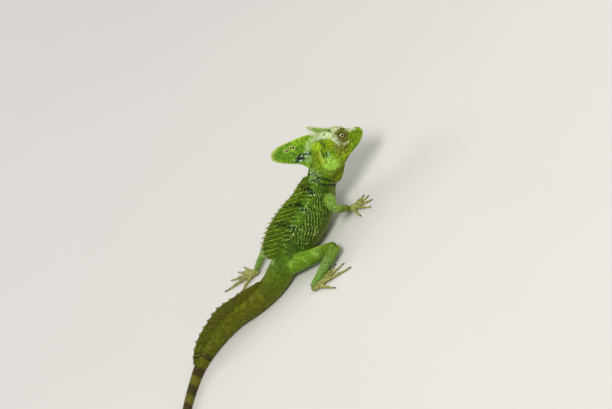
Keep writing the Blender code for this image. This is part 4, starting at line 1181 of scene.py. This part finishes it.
def ring_walk(rings, run_from, run_to, size):
    """Roots in staggered rows round a form. Size gives a scale's length and width at a distance along it."""
    run = lengths(rings.mean(1))
    places, backs, runs, shares, sizes = [], [], [], [], []
    at, row = run_from, 0
    while at < run_to:
        length, width = (COARSE * value for value in size(at))
        i = int(np.clip(np.searchsorted(run, at) - 1, 0, len(run) - 2))
        t = (at - run[i]) / max(run[i + 1] - run[i], 1e-6)
        ring = rings[i] * (1 - t) + rings[i + 1] * t
        way = lengths(np.concatenate([ring, ring[:1]]))
        count = max(int(round(way[-1] / width)), 5)
        share = ((np.arange(count) + 0.5 * (row % 2)) / count) % 1
        index = np.interp(share * way[-1], way, np.arange(len(way)))
        low = index.astype(int) % len(ring)
        part = (index - np.floor(index))[:, None]
        places.append(ring[low] * (1 - part) + ring[(low + 1) % len(ring)] * part)
        backs.append((rings[i + 1] - rings[i])[low])
        runs.append(np.full(count, at))
        shares.append(share)
        sizes.append(np.tile([length, way[-1] / count], (count, 1)))
        at += length * ROW_COVER
        row += 1
    return [np.concatenate(part) for part in (places, backs, runs, shares, sizes)]


def split(roots, low, high, span):
    """Places, backs, sizes and places on the unwrap of the roots with a share of the way round from low to high."""
    keep = (roots[3] >= low) & (roots[3] < high)
    places, backs, runs, shares, sizes = (values[keep] for values in roots)
    unwrap = np.stack([(runs - span[0]) / (span[1] - span[0]), (shares - low) / (high - low)], 1)
    return [places, backs, sizes, unwrap]


def on_face(x, z, skin_tree):
    """Places on both sides of the head that stand at x and z in its own axes, found from the side."""
    places = []
    for side in (-1, 1):
        for one_x, one_z in zip(x, z):
            start = from_head([(one_x, side * 30, one_z)])[0]
            hit = skin_tree.ray_cast(Vector(start), Vector(HEAD_TURN @ np.array([0, -side, 0])))
            if hit[0] is not None and hit[3] < 29:
                places.append(tuple(hit[0]))
    return np.array(places)


BEAD, BEAD_RINGS = 0.66, (3.75, 8.2)  # size of the beads round the eyes, and from which radius to which
LIP_ROWS, LIP_SCALE = (0.85, 1.75, 2.65, -0.85, -1.75, -2.65), (1.25, 1.02)


def face_roots(skin_tree):
    """Roots of the rings of small beads round the eyes, and of the rows of larger scales along the lips."""
    parts = []
    for radius in np.arange(*BEAD_RINGS, BEAD):
        count = int(2 * math.pi * radius / BEAD)
        turn = (np.arange(count) + 0.5 * (int(radius / BEAD) % 2)) / count * 2 * math.pi
        reach = radius * (1 + 0.1 * ease(radius, 5, 8) * np.cos(turn))
        places = on_face(EYE_AT[0] + reach * np.cos(turn), EYE_AT[2] + reach * np.sin(turn), skin_tree)
        head = to_head(places)
        out = np.stack([head[:, 0] - EYE_AT[0], np.zeros(len(head)), head[:, 2] - EYE_AT[2]], 1)
        parts.append((places, out @ HEAD_TURN.T, np.full((len(places), 2), 0.68)))
    for row, offset in enumerate(LIP_ROWS):
        x = np.arange(23.4 - 0.5 * (row % 2), MOUTH_END_X - 3, -LIP_SCALE[1])
        places = on_face(x, head_lines(x)[:, MOUTH] + offset, skin_tree)
        slope = np.gradient(head_lines(x)[:, MOUTH], x)
        back = np.stack([-np.ones(len(x)), np.zeros(len(x)), -slope], 1) @ HEAD_TURN.T
        back = np.tile(back, (2, 1)) if len(places) == 2 * len(x) else np.tile(back[:1], (len(places), 1))
        parts.append((places, back, np.tile(LIP_SCALE, (len(places), 1))))
    places, backs, sizes = (np.concatenate(part) for part in zip(*parts))
    head = to_head(places)
    round_ = 0.02 + (head[:, 2] + 30) / 42 * 0.46 + 0.5 * (head[:, 1] > 0)
    unwrap = np.stack([(26 - head[:, 0]) / 52, round_], 1)
    return places, backs, sizes, unwrap


def dewlap_roots():
    """Roots in staggered rows over both sides of the dewlap."""
    parts = []
    columns, rows = 38, 19
    middle, thickness = leaf_grid(DEWLAP_ROOT, DEWLAP_EDGE, DEWLAP_THICK, columns, rows)
    middle[1::2, :-1] = (middle[1::2, :-1] + middle[1::2, 1:]) / 2
    outward = np.gradient(middle, axis=0).reshape(-1, 3) @ HEAD_TURN.T
    width = np.linalg.norm(np.gradient(middle, axis=1), axis=2).ravel()
    length = np.linalg.norm(np.gradient(middle, axis=0), axis=2).ravel()
    share = np.stack(np.meshgrid(np.linspace(0, 1, columns), np.linspace(0, 1, rows)), -1).reshape(-1, 2)
    for side in (-1, 1):
        face = middle + thickness[..., None] * (0, side / 2, 0)
        unwrap = np.stack([share[:, 0], share[:, 1] * 0.48 + (side > 0) * 0.5], 1)
        parts.append((from_head(face.reshape(-1, 3)), outward, np.stack([length, width], 1) * 1.2, unwrap))
    places, backs, sizes, unwrap = (np.concatenate(part) for part in zip(*parts))
    return places, backs, sizes, unwrap


def off_face(head):
    """Where the ordinary scales of the head stay clear of the beads and the lips."""
    from_eye = np.hypot((head[:, 0] - EYE_AT[0]) / 1.06, head[:, 2] - EYE_AT[2])
    from_lip = np.abs(head[:, 2] - head_lines(head[:, 0])[:, MOUTH])
    beside = np.abs(head[:, 1]) > 7
    along_lip = (head[:, 0] > MOUTH_END_X - 2.5) & (head[:, 0] < 22.8)
    fore, down = from_ear(head[:, 0], head[:, 2])
    ear = beside & (np.hypot((fore + 0.5) / 2.3, down / 4.2) < 1)
    nostril = np.linalg.norm(head * (1, 0, 1) - np.array(NOSTRIL_AT) * (1, 0, 1), axis=1) < 1.15
    return ~((beside & (from_eye < 8.1)) | ((from_lip < 2.9) & along_lip) | ear | nostril)


def add_scales(name, slot, material, skin_tree, face_marks, roots, limit=1.5, clear=None):
    """Sets scales on the skin at the roots, with the skin's own values, and drops those that are buried."""
    places, backs, sizes, unwrap = roots
    found = [skin_tree.find_nearest(Vector(point)) for point in places.tolist()]
    keep = np.array([hit[3] is not None and hit[3] < limit for hit in found])
    if clear is not None:
        keep &= clear(to_head(places))
    spots, normals = (np.array([tuple(hit[part]) for hit in found])[keep] for part in (0, 1))
    marks = face_marks[np.array([hit[2] for hit in found])[keep]]
    jitter = rng.normal(0, 0.045, (len(spots), 3))
    size = sizes[keep] * rng.uniform(0.92, 1.08, (len(spots), 1))
    shape = size[:, 0] * 1.12, size[:, 1] * 1.12, np.full(len(spots), SCALE_HEIGHT)
    mesh, corners = scales_mesh(name, spots, normals + jitter, backs[keep], *shape, unwrap[keep])
    put_marks(mesh, np.repeat(spots, corners, 0), np.repeat(marks, corners, 0))
    put_attributes(mesh, tint=np.repeat(rng.uniform(0, 1, len(spots)), corners))
    add_object(name, mesh, material, slot)


def put_marks(mesh, root, marks):
    named = dict(zip(("run", "around", "skull", "limb", "paw", "fold"), marks.T))
    put_attributes(mesh, root=root * MM, head=to_head(root), **named)


def make_marks(points, edges):
    """For each point of the skin: distance along the trunk, share from back to belly, how far it is of the skull, a
    limb and a paw, and the height of its fold."""
    source = nearest_source(points)
    kind = KINDS[source[:, 0].astype(int)]
    run, around = source[:, 1], 1 - np.abs(1 - 2 * source[:, 2])
    limb = spread((kind > 0).astype(float), edges, int(4 / VOXEL))
    paw = spread((kind == 2).astype(float), edges, int(5 / VOXEL))
    skull = spread(ease(HEAD_RUN - run, 0, 8) * (kind == 0), edges, int(3 / VOXEL))
    return np.stack([run, around, skull, limb, paw, folds(run, around) * (kind == 0)], 1)


def limb_roots(forms, size):
    """Roots over several limbs or paws, each with its own strip of the unwrap."""
    found = []
    for number, rings in enumerate(forms):
        length = float(lengths(rings.mean(1))[-1])
        roots = ring_walk(rings, 0.5, length - 0.2, lambda run: (size, size * 0.85))
        roots = split(roots, 0, 1, (0, length))
        roots[3][:, 1] = (roots[3][:, 1] + number) / len(forms)
        found.append(roots)
    return [np.concatenate(part) for part in zip(*found)]


def tail_size(run):
    length = 1.9 - ease(run, TAIL_COAT_SPLIT, TAIL_END_RUN - 1)
    return length, 0.8 * length


def make_hide():
    """The skin and its scales."""
    mesh = build_skin()
    finer_head(mesh)
    edges = shape_skin(mesh)
    points = points_of(mesh)
    marks = make_marks(points, edges)
    put_marks(mesh, points, marks)
    skin = add_object("skin", mesh, hide_material("hide", False), "body_skin")
    tail = [f"tail_{number}" for number in range(1, 6)]
    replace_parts(skin, "head", "neck", "torso", "dewlap", *tail, *LEGS, *PAWS)

    polygons = [tuple(polygon.vertices) for polygon in mesh.polygons]
    tree = BVHTree.FromPolygons(points.tolist(), polygons)
    on_skin = hide_material("hide_scales", True), tree, marks[[polygon[0] for polygon in polygons]]
    head = split(ring_walk(TRUNK, 1, HEAD_RUN, lambda run: (1.15, 1)), 0, 1, (0, HEAD_RUN))
    add_scales("scales_head", "head_skin", *on_skin, head, clear=off_face)
    add_scales("scales_face", "head_skin", *on_skin, face_roots(tree))
    add_scales("scales_dewlap", "head_skin", *on_skin, dewlap_roots(), 2.5)
    for names, slot, span, size in (
        (("body_right", "body_left"), "body_skin", (HEAD_RUN, BODY_COAT_END), lambda run: (1.4, 1.1)),
        (("tail_front",), "tail_skin", (BODY_COAT_END, TAIL_COAT_SPLIT), lambda run: (1.75, 1.45)),
        (("tail_rear",), "tail_skin", (TAIL_COAT_SPLIT, TAIL_END_RUN - 1), tail_size),
    ):
        roots = ring_walk(TRUNK, *span, size)
        for number, name in enumerate(names):
            half = split(roots, number / len(names), (number + 1) / len(names), span)
            add_scales("scales_" + name, slot, *on_skin, half)
    limbs = []
    for upper, lower in zip(list(LEGS.values())[::2], list(LEGS.values())[1::2]):
        limbs.append(tube_rings(upper[:-1] + [tuple(np.mean([upper[-1], lower[0]], axis=0))] + lower[1:], 110, 40))
    paws = [rings for _, rings, kind in FORMS if kind == 2]
    for name, forms, slot, size, limit in (
        ("arms", limbs[:2], "leg_skin", 1.2, 2.2),
        ("legs", limbs[2:], "leg_skin", 1.3, 2.2),
        ("paws", paws, "paw_skin", 0.95, 1.2),
    ):
        add_scales("scales_" + name, slot, *on_skin, limb_roots(forms, size), limit)


def make_fin(name, node, slot, kind, middle, thickness, across, ray, run, scale_size):
    """A crest or sail: its web, and scales on both its faces."""
    rows, columns = middle.shape[:2]
    points, faces = slab_mesh(middle, across, thickness)
    mesh = to_mesh(name, points, faces)
    out = np.repeat(np.linspace(0, 1, rows), columns)
    along = np.tile(np.linspace(0, 1, columns), rows)
    fin = np.stack([out, along, ray.ravel()], 1)
    fin, runs = np.tile(fin, (2, 1)), np.tile(run.ravel(), 2)
    put_attributes(mesh, root=points * MM, head=to_head(points), fin=fin, run=runs)
    web = add_object(name, mesh, fin_material(name + "_web", False, kind), slot)
    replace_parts(web, node)

    # Roots of the scales, in staggered rows over the grid, evenly by its real size
    height = np.linalg.norm(np.diff(middle, axis=0), axis=2).sum(0).mean()
    row_count = int(height / (scale_size * 0.85))
    found = []
    for row in range(row_count):
        share = (row + 0.5) / row_count
        at = share * (rows - 1)
        low, part = int(at), at - int(at)
        line = middle[low] * (1 - part) + middle[min(low + 1, rows - 1)] * part
        way = lengths(line)
        count = int(way[-1] / (scale_size * 0.95))
        places = (np.arange(count) + 0.5 * (row % 2) + 0.25) / count * way[-1]
        column = np.interp(places, way, np.arange(columns))
        column = column[column < columns - 1.02]
        found.append(np.stack([np.full(len(column), at), column], 1))
    grid = np.concatenate(found)
    low = grid.astype(int)
    low[:, 0] = np.minimum(low[:, 0], rows - 2)
    part = grid - low

    def read(values):
        a, b = values[low[:, 0], low[:, 1]], values[low[:, 0], low[:, 1] + 1]
        c, d = values[low[:, 0] + 1, low[:, 1]], values[low[:, 0] + 1, low[:, 1] + 1]
        u, v = part[:, 1], part[:, 0]
        if values.ndim > 2:
            u, v = u[:, None], v[:, None]
        return (a * (1 - u) + b * u) * (1 - v) + (c * (1 - u) + d * u) * v

    outward = np.gradient(middle, axis=0)
    places, backs, thick = read(middle), read(outward), read(thickness)
    fins = np.stack([grid[:, 0] / (rows - 1), grid[:, 1] / (columns - 1), read(ray)], 1)
    runs = read(run)
    sides = read(np.asarray(across))
    parts = []
    for side in (-1, 1):
        half = middle + across * (side * thickness[..., None] / 2)
        slope = np.cross(np.gradient(half, axis=0), np.gradient(half, axis=1))
        normal = unit(read(slope))
        normal *= np.sign(np.sum(normal * sides * side, 1, keepdims=True))
        spot = places + sides * (side * thick[:, None] / 2)
        unwrap = np.stack([fins[:, 1], fins[:, 0] * 0.48 + (side > 0) * 0.5], 1)
        parts.append((spot, normal, backs, fins, runs, unwrap))
    spot, normal, back, fins, runs, unwrap = (np.concatenate(values) for values in zip(*parts))
    size = scale_size * rng.uniform(0.9, 1.1, len(spot))
    mesh, corners = scales_mesh(name + "_scales", spot, normal, back, size * 1.1, size * 0.95, size * 0.16, unwrap)
    tint = rng.uniform(0, 1, len(spot))
    named = {"root": spot * MM, "head": to_head(spot), "fin": fins, "run": runs, "tint": tint}
    put_attributes(mesh, **{key: np.repeat(values, corners, 0) for key, values in named.items()})
    add_object(name + "_scales", mesh, fin_material(name + "_scale", True, kind), slot)


def sail_grid(outline, rays, lean):
    """Middle points, thickness, across, ray share and run of a sail on the back or the tail."""
    outline = np.array(outline, float)
    run_from, run_to = run_at_x(outline[0, 0]), run_at_x(outline[-1, 0])
    phase = np.arange(rays * RAY_STEPS + 1) / RAY_STEPS
    runs = run_from + (run_to - run_from) * phase / rays
    x = smooth(BODY_RUN, BODY_ROWS[:, 0], runs)
    length = smooth(-outline[:, 0], outline[:, 1], -x)
    centre, left, up, backward, _, above, _ = body_at(runs)
    on_ray = 0.5 + 0.5 * np.cos(2 * math.pi * phase)
    reach = length * (0.84 + 0.15 * on_ray**3)
    tilt = math.radians(lean)
    way = up * math.cos(tilt) + backward * math.sin(tilt)
    root = centre + up * (above - SAIL_ROOT)[:, None]
    share = np.linspace(0.0, 1.0, SAIL_ROWS)[:, None]
    middle = root[None] + way[None] * (share * (reach + SAIL_ROOT)[None])[..., None]
    ridge = (RAY_THICK - WEB_THICK - 0.3) * on_ray[None] ** 7 * (1 - 0.75 * share)
    thickness = (WEB_THICK - 0.2 * share + ridge) * (1 - 0.5 * ease(share, 0.94, 1))
    ray = np.broadcast_to(on_ray, thickness.shape)
    run = np.broadcast_to(HEAD_RUN + runs, thickness.shape)
    return middle, thickness, np.broadcast_to(left, middle.shape), ray, run


def make_fins():
    across = HEAD_TURN @ np.array([0, 1, 0])
    for name, root, edge, thick, slot, size in (
        ("crest_large", CREST_ROOT, CREST_EDGE, CREST_THICK, "crest_main", 1.25),
        ("crest_small", HORN_ROOT, HORN_EDGE, HORN_THICK, "crest_front", 1.1),
    ):
        middle, thickness = leaf_grid(root, edge, thick, *CREST_GRID)
        place, share = from_head(middle), np.linspace(0, 1, CREST_GRID[1])[:, None]
        thickness = np.maximum(thickness - 0.4, 0.45) * (1 - 0.45 * ease(share, 0.93, 1))
        ray = np.full(thickness.shape, 0.5)
        run = np.full(thickness.shape, HEAD_RUN)
        wide = np.broadcast_to(across, place.shape)
        make_fin(name, slot, "crest_skin", "crest", place, thickness, wide, ray, run, size)
    for name, node, outline, rays, lean, kind in (
        ("sail_back", "back_sail", BACK_SAIL, BACK_RAYS, BACK_LEAN, "back"),
        ("sail_tail", "tail_sail", TAIL_SAIL, TAIL_RAYS, TAIL_LEAN, "tail"),
    ):
        make_fin(name, node, "sail_skin", kind, *sail_grid(outline, rays, lean), 1.35)


def make_eyes():
    material = eye_material()
    rings = sides = 64
    polar = np.linspace(0.0, math.pi, rings)[:, None]
    turn = np.arange(sides)[None] * 2 * math.pi / sides
    radius = EYE_RADIUS - EYE_GAP
    for name, side in (("right", -1), ("left", 1)):
        ball = np.sin(polar) * radius * np.cos(turn), side * (np.cos(polar) * radius) + 0 * turn
        ball = np.stack([*ball, np.sin(polar) * radius * np.sin(turn)], -1)
        tilt = Matrix.Rotation(math.radians(side * -EYE_TURN), 3, "Z")
        ball = ball.reshape(-1, 3) @ np.array(tilt).T + np.array([EYE_AT[0], side * EYE_AT[1], EYE_AT[2]])
        mesh = to_mesh("eyeball_" + name, *grid_mesh(from_head(ball).reshape(rings, sides, 3)))
        polars, turns = np.repeat(polar, sides), np.tile(np.abs(turn[0] - math.pi), rings)
        put_attributes(mesh, polar=np.append(polars, [0, math.pi]), turn=np.append(turns, [0, 0]))
        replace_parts(add_object("eyeball_" + name, mesh, material, "eye"), "eye_" + name)


def make_claws():
    points, faces = joined([grid_mesh(rings) for rings in CLAWS])
    points[:, 2] = np.maximum(points[:, 2], OFF_FLOOR)
    add_object("claws", to_mesh("claws", points, faces), claw_material(), "paw_skin")


def make_studio():
    corners = np.array([(-1, -1, 0), (1, -1, 0), (1, 1, 0), (-1, 1, 0)]) * (FLOOR_SIZE / 2)
    add_object("floor", to_mesh("floor", corners, np.array([[0, 1, 2, 3]])), floor_material())
    world = bpy.data.worlds.new("studio")
    bpy.context.scene.world = world
    world.use_nodes = True
    sky = world.node_tree.nodes["Background"].inputs
    sky[0].default_value, sky[1].default_value = SKY, SKY_STRENGTH
    for name, (place, size, power, colour) in LIGHTS.items():
        lamp = bpy.data.lights.new(name, "AREA")
        lamp.size, lamp.energy, lamp.color = size, power, colour
        holder = add_object(name, lamp)
        holder.location = place
        holder.rotation_euler = (Vector(LIGHTS_AIM) - Vector(place)).to_track_quat("-Z", "Y").to_euler()


def make_camera():
    bpy.context.scene.view_settings.view_transform = "Standard"
    height, roll = math.radians(CAMERA_HEIGHT), math.radians(CAMERA_ROLL)
    distance = IMAGE[0] * PIXEL_MM / 2 / (SENSOR / 2 / LENS)
    back = np.array([0, -math.cos(height), math.sin(height)])
    level, upright = np.array([1, 0, 0]), np.array([0, math.sin(height), math.cos(height)])
    right = math.cos(roll) * level - math.sin(roll) * upright
    up = math.sin(roll) * level + math.cos(roll) * upright
    aside, below = (np.array(ORIGIN_PIXEL) - np.array(IMAGE) / 2) * PIXEL_MM
    place = (back * distance - right * aside + up * below) * MM
    data = bpy.data.cameras.new("camera")
    data.lens, data.sensor_width, data.clip_end = LENS, SENSOR, 50
    camera = add_object("camera", data)
    turned = Matrix(np.stack([right, up, back], 1).tolist()).to_4x4()
    turned.translation = Vector(place)
    camera.matrix_world = turned
    bpy.context.scene.camera = camera


make_camera()
make_studio()
make_hide()
make_fins()
make_eyes()
make_claws()
